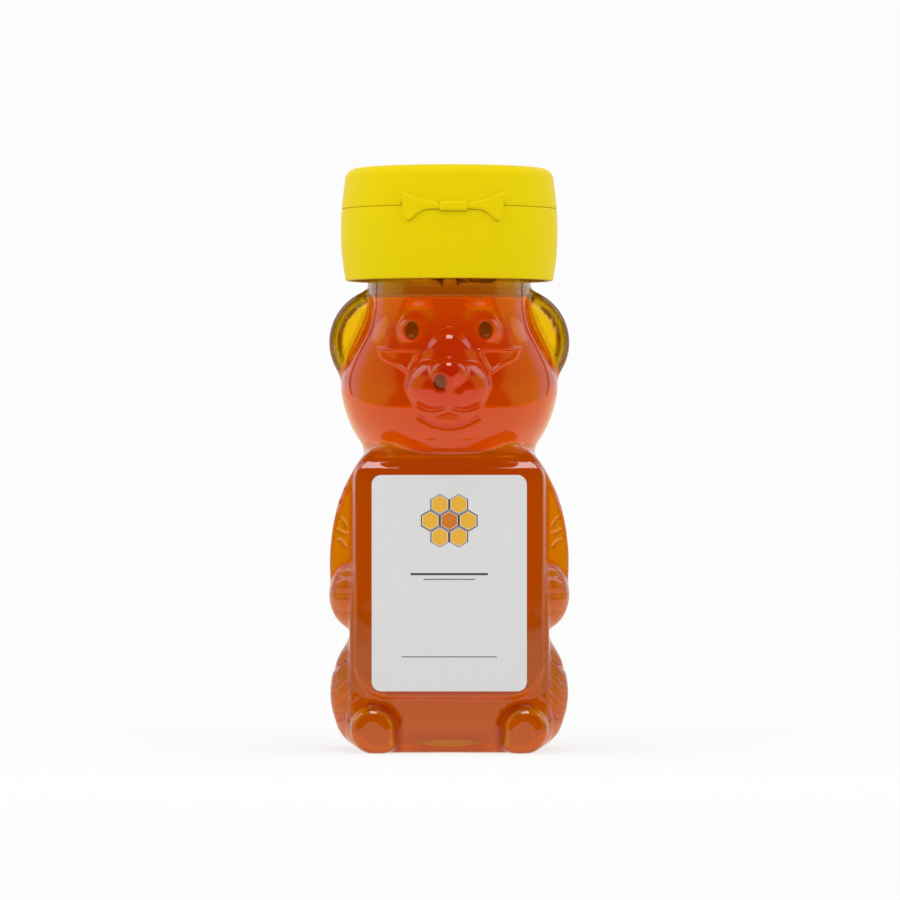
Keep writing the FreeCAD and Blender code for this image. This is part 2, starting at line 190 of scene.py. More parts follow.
# Painted shade: dark rims round the ears
EAR_RIM_SHADE = (0.06, 0.02, 0.02)
# Painted shade in the mouth grooves
MOUTH_GROOVE_SHADE = (0.85, 0.40, 0.80)
# Painted shade: dark pupils and a dark left nostril
PUPIL_AND_NOSTRIL_SHADE = (0.10, 0.16, 0.25)
# Where the painted shades and hue shifts ease in or out, along X, Y or Z
HEAD_SHADE_Z = (78.0, 88.0)
TORSO_SHADE_Z = (69.0, 71.5)
PANEL_TOP_TINT_Z = (62.0, 66.0)
PANEL_LOW_SHADE_Z = (13.0, 16.0)
PANEL_LOW_FADE_Z = (26.0, 38.0)
BASE_SHADE_Z = (2.0, 6.0)
BASE_SHADE_X = (6.0, 12.0)
ARM_TINT_Z = (39.5, 42.0)
PAW_BACK_Y = (-4.0, 0.0)
FOOT_EDGE_X = (18.0, 21.0)
FOOT_EDGE_Y = (-22.3, -21.0)
NECK_TINT_Z = (105.6, 106.4)
NECK_SIDE_X = (15.5, 17.5)
LIMB_TINT_EDGE = (0.2, 1.0)
EAR_RIM_REACH = (EAR_CUP[0] - 0.4, EAR_CUP[0] + 1.6)

# Fingers and fur on the +X side as seen from the front, in X and Z
FINGERS = tuple(Groove(((21.6, z), (23.6, z + 0.1), (25.8, z)), 0.8, 0.45) for z in (40.9, 36.9, 32.9))
FUR = (
    Groove(((25.4, 54.3), (24.6, 53.6), (24.2, 52.4)), 0.35, 0.12),
    Groove(((26.0, 51.5), (25.0, 50.7), (24.1, 50.8)), 0.35, 0.12),
    Groove(((26.2, 49.2), (25.2, 49.2), (24.3, 47.6)), 0.35, 0.12),
)
LEG_FUR = tuple(
    Groove(((22.6 + lean, z), (24.2 + lean, z - 1.4), (26.4 + 0.6 * lean, z - 4.0)), 0.7, 0.35)
    for z, lean in ((23.2, 0.2), (20.4, 0.0), (17.6, -0.1), (14.8, -0.5), (12.0, -1.2)))

# Neck finish and its screw thread, which the cap's thread meets
FINISH_RADIUS = 17.55
BORE_RADIUS = 15.4
BORE_LOW = 104.0
BORE_FACES_LOW = 100.0
FUNNEL_TOP = 108.5
FUNNEL_REACH = 19.6
RIM_Z = 122.8
RIM_ROUNDING = 0.5
FINISH_LOW = 109.0
THREAD_PITCH = 4.233
THREAD_TURNS = 1.15
THREAD_DEPTH = 1.0
THREAD_START = 114.88
THREAD_SECTION = (
    (-0.25, -1.05), (0.15, -1.0), (THREAD_DEPTH, -0.5), (THREAD_DEPTH, 0.5), (0.15, 1.0), (-0.25, 1.05))
SOCKET_RADIUS = 19.1
SOCKET_THREAD_START = 0.4

# Cap: corners of the base's and the lid's outlines as reach from the axis, height and rounding
CAP_RADIUS = 25.5
BASE_CORNERS = (
    (24.4, 110.2, 0.45), (24.72, 112.0, 0), (25.02, 114.0, 0), (25.26, 116.0, 0), (25.42, 118.0, 0),
    (25.5, 120.0, 0), (25.52, 122.0, 0), (25.48, 124.0, 0), (25.42, 125.5, 0), (25.35, 127.0, 0.2),
    (24.95, 127.0, 0.1), (24.95, 127.6, 0.12), (23.6, 127.6, 0.25), (23.6, 128.2, 0.25), (22.6, 128.2, 0.25),
    (22.6, 125.2, 0.6), (5.4, 125.2, 0.9), (4.5, 131.5, 0.45), (3.2, 131.5, 0.4), (3.2, 123.8, 0.3),
    (SOCKET_RADIUS, 123.8, 0.4), (SOCKET_RADIUS, 113.0, 0.3), (20.3, 113.0, 0.3), (20.3, 123.8, 0.6),
    (23.85, 123.8, 0.8), (23.0, 110.2, 0.3),
)
LID_CORNERS = (
    (0, 137.0, 0), (8.0, 136.95, 0), (16.0, 136.8, 0), (24.3, 136.55, 2.8), (24.62, 133.5, 0),
    (24.86, 131.5, 0), (25.06, 130.0, 0), (25.2, 128.6, 0), (25.34, 127.1, 0.2), (25.05, 127.1, 0.08),
    (25.05, 127.75, 0.1), (23.95, 127.75, 0.25), (22.9, 135.3, 1.2), (3.08, 135.3, 0.6), (3.08, 131.5, 0),
    (2.58, 129.0, 0.3), (1.98, 129.0, 0.2), (1.98, 135.3, 0.3), (0, 135.3, 0),
)
# The bow on the lid, from its knot to one end: top and lower edges as length along the wall and height
BOW_SHIFT = 0.9
BOW_TOP = (
    (0, 127.4), (3.0, 127.35), (4.2, 127.8), (5.35, 128.0), (6.55, 128.2), (8.5, 128.76), (10.2, 129.43),
    (11.4, 130.15), (11.8, 130.2), (12.05, 129.95),
)
BOW_LOW = (
    (0, 126.13), (3.0, 126.13), (4.9, 126.07), (6.55, 125.88), (7.6, 125.45), (8.5, 124.9), (9.4, 124.0),
    (10.5, 123.45), (11.35, 124.2), (12.0, 126.2),
)
BOW_STATIONS = (0, 0.25, 0.35, 0.45, 0.55, 0.7, 0.82, 0.92, 0.97, 1)
BOW_INNER = 24.75
BOW_OUTER = 25.95
BOW_END_LIFT = 0.55
BOW_ROUNDING = 0.5
BOW_HALF = 12.0
BOW_CROWN = 0.25
POCKET_OUTER = 28.0
BOW_CLEARANCE = 0.12
KNOT_HALF = 3.05
KNOT_LOW = 125.7
KNOT_HIGH = 128.0
KNOT_OUTER = 26.7
KNOT_SLOPE = 0.55
KNOT_FOOT = 0.3
KNOT_RIB = 0.05
KNOT_RIBS = 12
NOTCH = ((12.1, 127.0), (12.75, 127.0), (12.15, 129.8))
HINGE_FLAT_Y = 24.9
HINGE_LOW = 125.4
HINGE_HIGH = 128.8
HINGE_FLAT_HALF = (12.0, 3.0)
FOLD_THINNING = 0.5
FOLD_WIDTH = 0.22
WEB_EDGE_THINNING = 0.25

# Label: how deep its back lies in the wall, and its print; rules have a height, half length and thickness
LABEL_SUNK = 0.04
LABEL_CORNER = 2.2
COMB_Z = 54.0
COMB_CELL = 4.4
COMB_LINE = 0.28
LABEL_RULES = ((41.6, 9.0, 0.5), (40.4, 6.0, 0.22), (22.4, 11.0, 0.22))
PAPER_SHADES = (0.965, 1.035)
COMB_INK = (0.80, 0.42, 0.03)
HEART_INK = (0.62, 0.17, 0.01)
LINE_INK = (0.05, 0.035, 0.03)

# Light: how bright the stage is for the rays that see it, and for the light that falls on the object
BACKDROP = 0.975
WORLD_LIGHT = 0.6
FLOOR_MIRRORED = 1.0
# Painted light: the floor seen in reflections takes an amber glow, as from light through the honey
FLOOR_MIRRORED_AMBER_GLOW = (1.0, 0.84, 0.62)
FLOOR_NEAR_Y = (-1.25, -0.6)
FLOOR_THROUGH = 0.82
FLOOR_SHADOW = 0.25
FLOOR_SHADOW_REACH = (0.12, 0.4)
AHEAD_THROUGH = 0.5
WALL_MIRRORED = 0.9
WALL_TINT = (1.0, 0.92, 0.12)
SOFTBOX_MIRRORED = 7.0
SIDE_SOFTBOX_MIRRORED = 1.8
ROOM_DARK = 0.02
CLOUDY_UNBENT = 0.85
# Edges of what is mirrored, each eased over a range of the direction's part up, back or to a side
CEILING_UP = (0.5, 0.7)
WALL_FRONT = (-0.45, -0.25)
WALL_BACK = (0.55, 0.58)
BACKDROP_FRONT = (0.6, 0.66)
SOFTBOX_UP = (0.88, 0.9)
SOFTBOX_SIDE = (0.14, 0.17)
SOFTBOX_FRONT = (-0.34, -0.3)
SOFTBOX_BACK = (0.05, 0.08)
SIDE_SOFTBOX_SIDE = (0.45, 0.55)
SIDE_SOFTBOX_LOW = (0.33, 0.43)
SIDE_SOFTBOX_HIGH = (0.82, 0.86)
SIDE_SOFTBOX_FRONT = (0.05, 0.2)
SIDE_SOFTBOX_BACK = (0.48, 0.55)
WARM_BACK = (0.15, 0.5)
AHEAD_BACK = (-0.5, -0.25)
AHEAD_UP = (0.6, 0.75)
# Lamps as name, place, aim, size and power, and the camera, in metres and watts
LAMPS = (
    ("left_softbox", (-0.9, -0.9, 0.6), (0, 0, 0.06), 0.8, 4.1),
    ("right_softbox", (0.9, -0.9, 0.6), (0, 0, 0.06), 0.8, 3.5),
    ("left_wall", (-1.2, 0.3, 0.35), (0, 0, 0.08), 0.8, 3.0),
    ("right_wall", (1.2, 0.3, 0.35), (0, 0, 0.08), 0.8, 3.0),
    ("overhead_softbox", (0, -0.1, 1.1), (0, 0, 0.06), 0.9, 3.8),
)
CAMERA_PLACE = (0.00017, -1.30, 0.0704)
CAMERA_ANGLE = 2 * math.atan(106 / 1300)

# Mesh fineness, how far apart a slope is measured, and how far one step presses a point
BODY_VOXEL = 1.0
INNER_VOXEL = 1.3
WELD = 0.002
LEAST_SLOPE = 0.2
LARGEST_MOVE = 1.2
PROBE = 0.04
NORMAL_PROBE = 0.2
NORMALS_TOP = 103.5


def take(*pieces):
    """Selects only these objects and makes the first one active."""
    bpy.ops.object.select_all(action="DESELECT")
    for piece in pieces:
        piece.select_set(True)
    bpy.context.view_layer.objects.active = pieces[0]


def finish_with(piece, kind, **settings):
    """Adds one modifier and applies it."""
    take(piece)
    modifier = piece.modifiers.new(kind.title(), kind)
    for name, value in settings.items():
        setattr(modifier, name, value)
    bpy.ops.object.modifier_apply(modifier=modifier.name)


def points(piece):
    flat = np.empty(len(piece.data.vertices) * 3)
    piece.data.vertices.foreach_get("co", flat)
    return flat.reshape(-1, 3) / MM


def move_points(piece, where):
    piece.data.vertices.foreach_set("co", (where * MM).ravel())
    piece.data.update()


def join(name, pieces):
    take(*pieces)
    bpy.ops.object.join()
    pieces[0].name = name
    pieces[0].data.name = name
    return pieces[0]


def face_centres(piece):
    flat = np.empty(len(piece.data.polygons) * 3)
    piece.data.polygons.foreach_get("center", flat)
    return flat.reshape(-1, 3) / MM


def edit_all(piece):
    """Goes to edit mode with the whole mesh selected."""
    take(piece)
    bpy.ops.object.mode_set(mode="EDIT")
    bpy.ops.mesh.select_all(action="SELECT")


def select_faces(piece, chosen):
    """Goes to edit mode with the faces for which chosen(centres in mm) holds."""
    take(piece)
    bpy.ops.object.mode_set(mode="EDIT")
    bpy.ops.mesh.select_all(action="DESELECT")
    bpy.ops.object.mode_set(mode="OBJECT")
    piece.data.polygons.foreach_set("select", chosen(face_centres(piece)))
    bpy.ops.object.mode_set(mode="EDIT")


def face_outward(piece):
    edit_all(piece)
    bpy.ops.mesh.normals_make_consistent(inside=False)
    bpy.ops.object.mode_set(mode="OBJECT")


def slice_at(piece, z, **settings):
    """Cuts a mesh along a level plane."""
    edit_all(piece)
    bpy.ops.mesh.bisect(plane_co=(0, 0, z * MM), plane_no=(0, 0, 1), **settings)
    bpy.ops.object.mode_set(mode="OBJECT")


def cut(piece, tool, operation):
    """Joins a piece with a tool, or takes the tool out of it, and removes the tool."""
    finish_with(piece, "BOOLEAN", object=tool, operation=operation, solver="MANIFOLD")
    bpy.data.objects.remove(tool)


def smooth_by_angle(piece, degrees):
    take(piece)
    bpy.ops.object.shade_smooth_by_angle(angle=math.radians(degrees))


# Forms as distances: negative inside, in millimetres
def ball_distance(p, ball, axes=(0, 1, 2)):
    axes = list(axes)
    radii = np.array(ball.radii)[axes]
    q = (p[:, axes] - np.array(ball.centre)[axes]) / radii
    reach = np.linalg.norm(q, axis=1)
    return reach * (reach - 1) / np.maximum(np.linalg.norm(q / radii, axis=1), 1e-6)


def plate_distance(u, v, half_u, half_v, corner):
    """Distance to a rectangle with round corners, round the origin of U and V."""
    a = np.abs(u) - half_u + corner
    b = np.abs(v) - half_v + corner
    return np.minimum(np.maximum(a, b), 0) + np.hypot(np.maximum(a, 0), np.maximum(b, 0)) - corner


def both(a, b, edge):
    """What two forms share, with the edge between them rounded."""
    past = np.hypot(np.maximum(a + edge, 0), np.maximum(b + edge, 0))
    return np.minimum(np.maximum(a, b) + edge, 0) + past - edge


def melt(a, b, blend):
    """Two forms as one, with the crease between them filled."""
    h = np.clip(0.5 + (b - a) / (2 * blend), 0, 1)
    return b + (a - b) * h - blend * h * (1 - h)


def spline(knots):
    """A smooth curve through (place, value) knots, as functions for its value and its slope."""
    x, y = np.array(knots, float).T
    h = np.diff(x)
    system = np.eye(len(x))
    right = np.zeros(len(x))
    for i in range(1, len(x) - 1):
        system[i, i - 1:i + 2] = h[i - 1], 2 * (h[i - 1] + h[i]), h[i]
        right[i] = 6 * ((y[i + 1] - y[i]) / h[i] - (y[i] - y[i - 1]) / h[i - 1])
    bend = np.linalg.solve(system, right)

    def value_and_slope(at):
        at = np.clip(at, x[0], x[-1])
        i = np.clip(np.searchsorted(x, at) - 1, 0, len(h) - 1)
        s = at - x[i]
        rise = (y[i + 1] - y[i]) / h[i] - h[i] * (2 * bend[i] + bend[i + 1]) / 6
        cubic = (bend[i + 1] - bend[i]) / (6 * h[i])
        return y[i] + s * (rise + s * (bend[i] / 2 + s * cubic)), rise + s * (bend[i] + 3 * s * cubic)

    return value_and_slope


HEAD_CURVE = spline(HEAD_OUTLINE)


def line_distance(u, v, chain):
    """Least distance from points to a chain of straight runs."""
    nearest = np.full(len(u), np.inf)
    for (au, av), (bu, bv) in zip(chain, chain[1:]):
        run_u, run_v = bu - au, bv - av
        t = np.clip(((u - au) * run_u + (v - av) * run_v) / (run_u**2 + run_v**2), 0, 1)
        nearest = np.minimum(nearest, np.hypot(u - au - t * run_u, v - av - t * run_v))
    return nearest


def outline_distance(u, v, outline):
    """Distance to a closed outline, negative inside."""
    closed = [*outline, outline[0]]
    inside = np.zeros(len(u), bool)
    for (au, av), (bu, bv) in zip(closed, closed[1:]):
        if av != bv:
            inside ^= ((v < av) != (v < bv)) & (u < au + (v - av) * (bu - au) / (bv - av))
    distance = line_distance(u, v, closed)
    return np.where(inside, -distance, distance)


def softened(outline):
    """An outline with its corners cut off three times, which rounds them."""
    chain = np.array(outline, float)
    for _ in range(3):
        after = np.roll(chain, -1, axis=0)
        chain = np.stack([0.75 * chain + 0.25 * after, 0.25 * chain + 0.75 * after], axis=1).reshape(-1, 2)
    return chain.tolist()


def step(distance, soft):
    """1 inside, 0 outside, eased over the soft edge."""
    t = np.clip(0.5 - distance / soft, 0, 1)
    return t * t * (3 - 2 * t)


def ease_in(value, low, high):
    """0 below low, 1 above high, eased between."""
    t = np.clip((value - low) / (high - low), 0, 1)
    return t * t * (3 - 2 * t)


def sunk_patch(u, v, patch):
    return patch.depth * step(outline_distance(u, v, patch.outline), patch.soft)


def spot_distance(u, v, spot):
    q_u = (u - spot.centre[0]) / spot.radii[0]
    q_v = (v - spot.centre[1]) / spot.radii[1]
    return (np.hypot(q_u, q_v) - 1) * min(spot.radii)


def sunk_spot(u, v, spot):
    return spot.depth * step(spot_distance(u, v, spot), spot.soft)


def sunk_groove(u, v, groove):
    start, middle, end = np.array(groove.points)
    t = np.linspace(0, 1, 9)[:, None]
    chain = (1 - t) ** 2 * start + 2 * t * (1 - t) * middle + t**2 * end
    return groove.depth * np.exp(-((line_distance(u, v, chain) / groove.width) ** 2))


def torso_distance(p):
    x, y, z = p.T
    half_width = TORSO.half[0] + TORSO_FLARE * (1 - ease_in(z, *TORSO_FLARE_Z))
    outline = both(np.abs(x) - half_width, z - TORSO.centre[2] - TORSO.half[2], TORSO.edge)
    half_depth = TORSO.half[1] - TORSO_SETBACK * ease_in(z, *TORSO_SETBACK_Z)
    block = both(outline, np.abs(y) - half_depth, TORSO.corner)
    return both(block, z - SHOULDER_TOP, SHOULDER_EDGE)


def panel_distance(p):
    x, y, z = p.T
    middle = (PANEL_LOW + PANEL_HIGH) / 2
    half = (PANEL_HIGH - PANEL_LOW) / 2
    corner = np.where(z > middle, PANEL_TOP_CORNER, PANEL_LOW_CORNER)
    plan = plate_distance(x, z - middle, PANEL_HALF_WIDTH, half, corner)
    slab = both(plan, np.abs(np.abs(y) - PANEL_FACE + PANEL_ROOT) - PANEL_ROOT, PANEL_EDGE)
    rise = (z - PANEL_HIGH + PANEL_BEVEL) * math.sin(PANEL_BEVEL_LEAN)
    bevel = rise + (np.abs(y) - PANEL_FACE) * math.cos(PANEL_BEVEL_LEAN)
    return both(slab, bevel, PANEL_BEVEL_EDGE)


def head_distance(p):
    x, y, z = p.T
    reach = np.hypot(x, y)
    facing = ease_in(-y / np.maximum(reach, 1), *FACE_DROP_FACING)
    drop = FACE_DROP * facing * ease_in(z, *FACE_DROP_START_Z) * (1 - ease_in(z, *FACE_DROP_END_Z))
    radius, slope = HEAD_CURVE(z + drop)
    side = (reach - radius) / np.sqrt(1 + slope**2)
    for bead_z in NECK_BEADS:
        side -= NECK_BEAD_HEIGHT * np.exp(-(((z - bead_z) / NECK_BEAD_WIDTH) ** 2))
    topped = both(side, z - NECK_RING_TOP, NECK_RING_EDGE)
    return both(topped, SHOULDER_TOP - HEAD_CUT - z, HEAD_CUT_EDGE)


def ear_distance(p):
    x, y, z = (p - EAR.centre).T
    reach = np.hypot(x, z)
    rim = both(reach - EAR.half[0], np.abs(y) - EAR.half[1], EAR.edge)
    cup_radius, cup_depth, cup_soft = EAR_CUP
    return rim + cup_depth * step(reach - cup_radius, cup_soft)


def arm_distance(p):
    side = both(ball_distance(p, ARM, (0, 2)), ARM_LOW - p[:, 2], ARM_EDGE)
    return both(side, np.abs(p[:, 1] - ARM.centre[1]) - ARM.radii[1], ARM_EDGE)


def leg_distance(p):
    side = ball_distance(p, LEG, (0, 2))
    return both(side, np.abs(p[:, 1] - LEG.centre[1]) - LEG.radii[1], LEG_EDGE)


def foot_distance(p):
    x, y, z = (p - FOOT.centre).T
    front = plate_distance(x, z, FOOT.half[0], FOOT.half[2], FOOT.corner)
    return both(front, np.abs(y) - FOOT.half[1], FOOT.edge)


def limb_details(p):
    """How deep the fingers and the fur are pressed in, on the side that faces forward."""
    x, _, z = p.T
    sunk = np.zeros(len(p))
    for groove in (*FINGERS, *FUR, *LEG_FUR):
        sunk += sunk_groove(x, z, groove)
    return sunk * step(p[:, 1] - ARM.centre[1], ARM.radii[1])


def face_details(p):
    """How deep the face is pressed in: sockets, cheeks with their raised rims, lip, mouth and nostrils."""
    x, _, z = p.T
    side = np.abs(x)
    sunk = SOCKET.depth * step(outline_distance(side, z, softened(SOCKET.outline)), SOCKET.soft)
    sunk += sunk_patch(side, z, CHEEK) + sunk_patch(x, z, LIP)
    bead = np.abs(outline_distance(side, z, CHEEK.outline))
    sunk -= CHEEK_BEAD * np.exp(-((bead / CHEEK_BEAD_WIDTH) ** 2))
    for groove in MOUTH:
        sunk += sunk_groove(x, z, groove)
    for spot in NOSTRILS:
        sunk += sunk_spot(x, z, spot)
    return sunk


def on_right(p):
    """Points with those on the -X side moved to their mirror image."""
    return np.stack([np.abs(p[:, 0]), p[:, 1], p[:, 2]], axis=1)


def bear_distance(p, detail):
    """The whole bear below its neck finish."""
    mirrored = on_right(p)
    side = mirrored[:, 0]
    head = melt(head_distance(p), ball_distance(p, SNOUT), SNOUT_MELT)
    head = melt(head, ball_distance(p, MUZZLE), NOSE_MELT)
    head = melt(head, ball_distance(p, NOSE), NOSE_MELT)
    eye = ball_distance(mirrored, EYE)
    if detail:
        front = p[:, 1] < FACE_FRONT_Y
        head[front] += face_details(p[front])
        for pupil in PUPILS:
            eye[front] += sunk_spot(p[front, 0], p[front, 2], pupil)
    head = melt(head, eye, EYE_MELT)
    body = melt(torso_distance(p), panel_distance(p), PANEL_MELT)
    body = melt(body, head, CHIN_MELT + SHOULDER_MELT * ease_in(side, *SHOULDER_MELT_X))
    body = melt(body, ear_distance(mirrored), EAR_MELT)
    limbs = melt(arm_distance(mirrored), ball_distance(mirrored, PAW), PAW_MELT)
    limbs = melt(limbs, leg_distance(mirrored), LEG_MELT)
    limbs = melt(limbs, foot_distance(mirrored), FOOT_MELT + FOOT_SIDE_MELT * ease_in(side, *FOOT_SIDE_X))
    if detail:
        limbs += limb_details(mirrored)
    body = melt(body, limbs, LIMB_MELT)
    base_edge = np.maximum(BASE_EDGE, BASE_SIDE_EDGE * ease_in(side, *BASE_SIDE_X))
    body = both(body, -p[:, 2], base_edge)
    return both(body, -ball_distance(p, PUSH_UP), BASE_EDGE)


def skin_distance(p):
    return bear_distance(p, True)


def inside_distance(p, depth):
    """The bear's hollow, which narrows like a funnel to the bore of the neck."""
    x, y, z = p.T
    reach = np.hypot(x, y)
    funnel = (reach - BORE_RADIUS - FUNNEL_TOP + z) / math.sqrt(2)
    funnel = np.minimum(funnel, FUNNEL_REACH - reach)
    return both(bear_distance(p, False) + depth, funnel + depth - WALL, 1.0)


def slope_of(distance, p, probe):
    """How fast a distance grows along each axis."""
    ways = np.eye(3) * probe
    return np.stack([distance(p + way) - distance(p - way) for way in ways], axis=1) / (2 * probe)


def press_to(piece, distance, rounds=7):
    """Moves a rough mesh's points onto the surface where a distance is nought."""
    p = points(piece)
    for _ in range(rounds):
        slope = slope_of(distance, p, PROBE)
        size = np.maximum((slope**2).sum(axis=1), LEAST_SLOPE)
        move = np.clip(distance(p) / size, -LARGEST_MOVE, LARGEST_MOVE)
        p -= slope * move[:, None]
    move_points(piece, p)


def true_normals(skin):
    """Turns the shading on the outside of the bear to the slope of its form, so that small edges glint."""
    p = points(skin)
    slope = slope_of(skin_distance, p, NORMAL_PROBE)
    slope /= np.maximum(np.linalg.norm(slope, axis=1), 1e-9)[:, None]
    on_bear = (np.abs(skin_distance(p)) < 0.1) & (p[:, 2] < NORMALS_TOP)
    slope[~on_bear] = 0
    skin.data.normals_split_custom_set_from_vertices(slope.tolist())


# Rough forms, which are melted together and then pressed to shape
def add_ball(centre, radii):
    bpy.ops.mesh.primitive_uv_sphere_add(
        segments=48, ring_count=24, radius=MM, location=Vector(centre) * MM, scale=radii)
    bpy.ops.object.transform_apply(location=True, rotation=True, scale=True)
    return bpy.context.object


def add_pad(centre, half, edge):
    bpy.ops.mesh.primitive_cube_add(size=2 * MM, location=Vector(centre) * MM, scale=half)
    bpy.ops.object.transform_apply(location=True, rotation=True, scale=True)
    bpy.ops.object.mode_set(mode="EDIT")
    bpy.ops.mesh.select_all(action="SELECT")
    bpy.ops.mesh.bevel(offset=edge * MM, segments=4, affect="EDGES")
    bpy.ops.object.mode_set(mode="OBJECT")
    return bpy.context.object


def drawn(name, outline):
    """An outline in X and Z, drawn by extruding a point; left in edit mode."""
    bpy.ops.object.select_all(action="DESELECT")
    bpy.ops.mesh.primitive_plane_add(size=MM)
    piece = bpy.context.object
    piece.name = name
    piece.data.name = name
    bpy.ops.object.mode_set(mode="EDIT")
    bpy.ops.mesh.select_all(action="SELECT")
    bpy.ops.mesh.merge(type="CENTER")
    here = Vector((0, 0))
    for i, corner in enumerate(outline):
        run = (Vector(corner) - here) * MM
        here = Vector(corner)
        if i == 0:
            bpy.ops.transform.translate(value=(run.x, 0, run.y))
        else:
            bpy.ops.mesh.extrude_vertices_move(TRANSFORM_OT_translate={"value": (run.x, 0, run.y)})
    return piece


def turned(name, outline, steps=160):
    """A piece turned about Z from its outline."""
    piece = drawn(name, outline)
    bpy.ops.mesh.select_all(action="SELECT")
    bpy.ops.mesh.spin(steps=steps, angle=math.tau, center=(0, 0, 0), axis=(0, 0, 1))
    bpy.ops.mesh.select_all(action="SELECT")
    bpy.ops.mesh.remove_doubles(threshold=WELD * MM)
    bpy.ops.mesh.normals_make_consistent(inside=False)
    bpy.ops.object.mode_set(mode="OBJECT")
    return piece


def plug(name, radius, top):
    """A round plug from the root of the neck's bore up to a height."""
    return turned(name, [(0, BORE_LOW), (radius, BORE_LOW), (radius, top), (0, top)])


def both_sides(add, centre, *sizes):
    x, y, z = centre
    return [add((side * x, y, z), *sizes) for side in (1, -1)]


def remesh(piece, voxel):
    """Covers a piece with even squares."""
    finish_with(piece, "REMESH", mode="VOXEL", voxel_size=voxel * MM, use_smooth_shade=True)


def rough_bear(name, voxel):
    """The bear's forms as one closed mesh of even squares."""
    bpy.ops.object.select_all(action="DESELECT")
    head_low = HEAD_OUTLINE[1][0]
    heights = np.linspace(head_low, NECK_RING_TOP, 40)
    head = [(0, head_low), *zip(HEAD_CURVE(heights)[0], heights), (0, NECK_RING_TOP)]
    panel_half = (PANEL_HIGH - PANEL_LOW) / 2
    forms = [
        add_pad((0, 0, TORSO.centre[2]), TORSO.half, TORSO.corner),
        add_pad((0, 0, PANEL_LOW + panel_half), (PANEL_HALF_WIDTH, PANEL_FACE, panel_half), PANEL_EDGE),
        turned("head", head, 96),
        *(add_ball(*form) for form in (SNOUT, MUZZLE, NOSE)),
        *both_sides(add_ball, *EYE),
        *both_sides(add_ball, EAR.centre, (EAR.half[0], EAR.half[1] * 1.5, EAR.half[2])),
        *both_sides(add_ball, *ROUGH_ARM),
        *both_sides(add_ball, *PAW),
        *both_sides(add_ball, *ROUGH_LEG),
        *both_sides(add_pad, FOOT.centre, FOOT.half, FOOT.edge),
    ]
    bear = join(name, forms)
    remesh(bear, voxel)
    slice_at(bear, 0, clear_inner=True, use_fill=True)
    remesh(bear, voxel)
    finish_with(bear, "SMOOTH", factor=0.5, iterations=4)
    return bear


def pressed(name, voxel, distance):
    """A closed mesh of even squares on the surface where a distance is nought."""
    piece = rough_bear(name, voxel)
    press_to(piece, distance)
    remesh(piece, voxel)
    finish_with(piece, "SMOOTH", factor=0.4, iterations=2)
    press_to(piece, distance, 5)
    return piece


def pressed_skin():
    """The bottle's outside, with finer squares on the face, the limbs and along the panel's edge."""
    skin = pressed("bottle", BODY_VOXEL, skin_distance)
    for finer in (on_face, on_panel_edge, on_limbs, on_face):
        select_faces(skin, finer)
        bpy.ops.mesh.subdivide(number_cuts=1, quadcorner="INNERVERT")
        bpy.ops.object.mode_set(mode="OBJECT")
        press_to(skin, skin_distance, 3)
    return skin


def on_face(centres):
    x, y, z = centres.T
    return (y < -8) & (np.abs(x) < 16.8) & (z > 74) & (z < 106.3)


def on_limbs(centres):
    x, y, z = centres.T
    return (y < -3) & (np.abs(x) > 21) & (z > 9) & (z < 56)


def on_panel_edge(centres):
    x, y, z = centres.T
    middle = (PANEL_LOW + PANEL_HIGH) / 2
    plan = plate_distance(x, z - middle, PANEL_HALF_WIDTH, PANEL_HIGH - middle, PANEL_TOP_CORNER)
    return (y < -14) & (np.abs(plan) < 2.2)


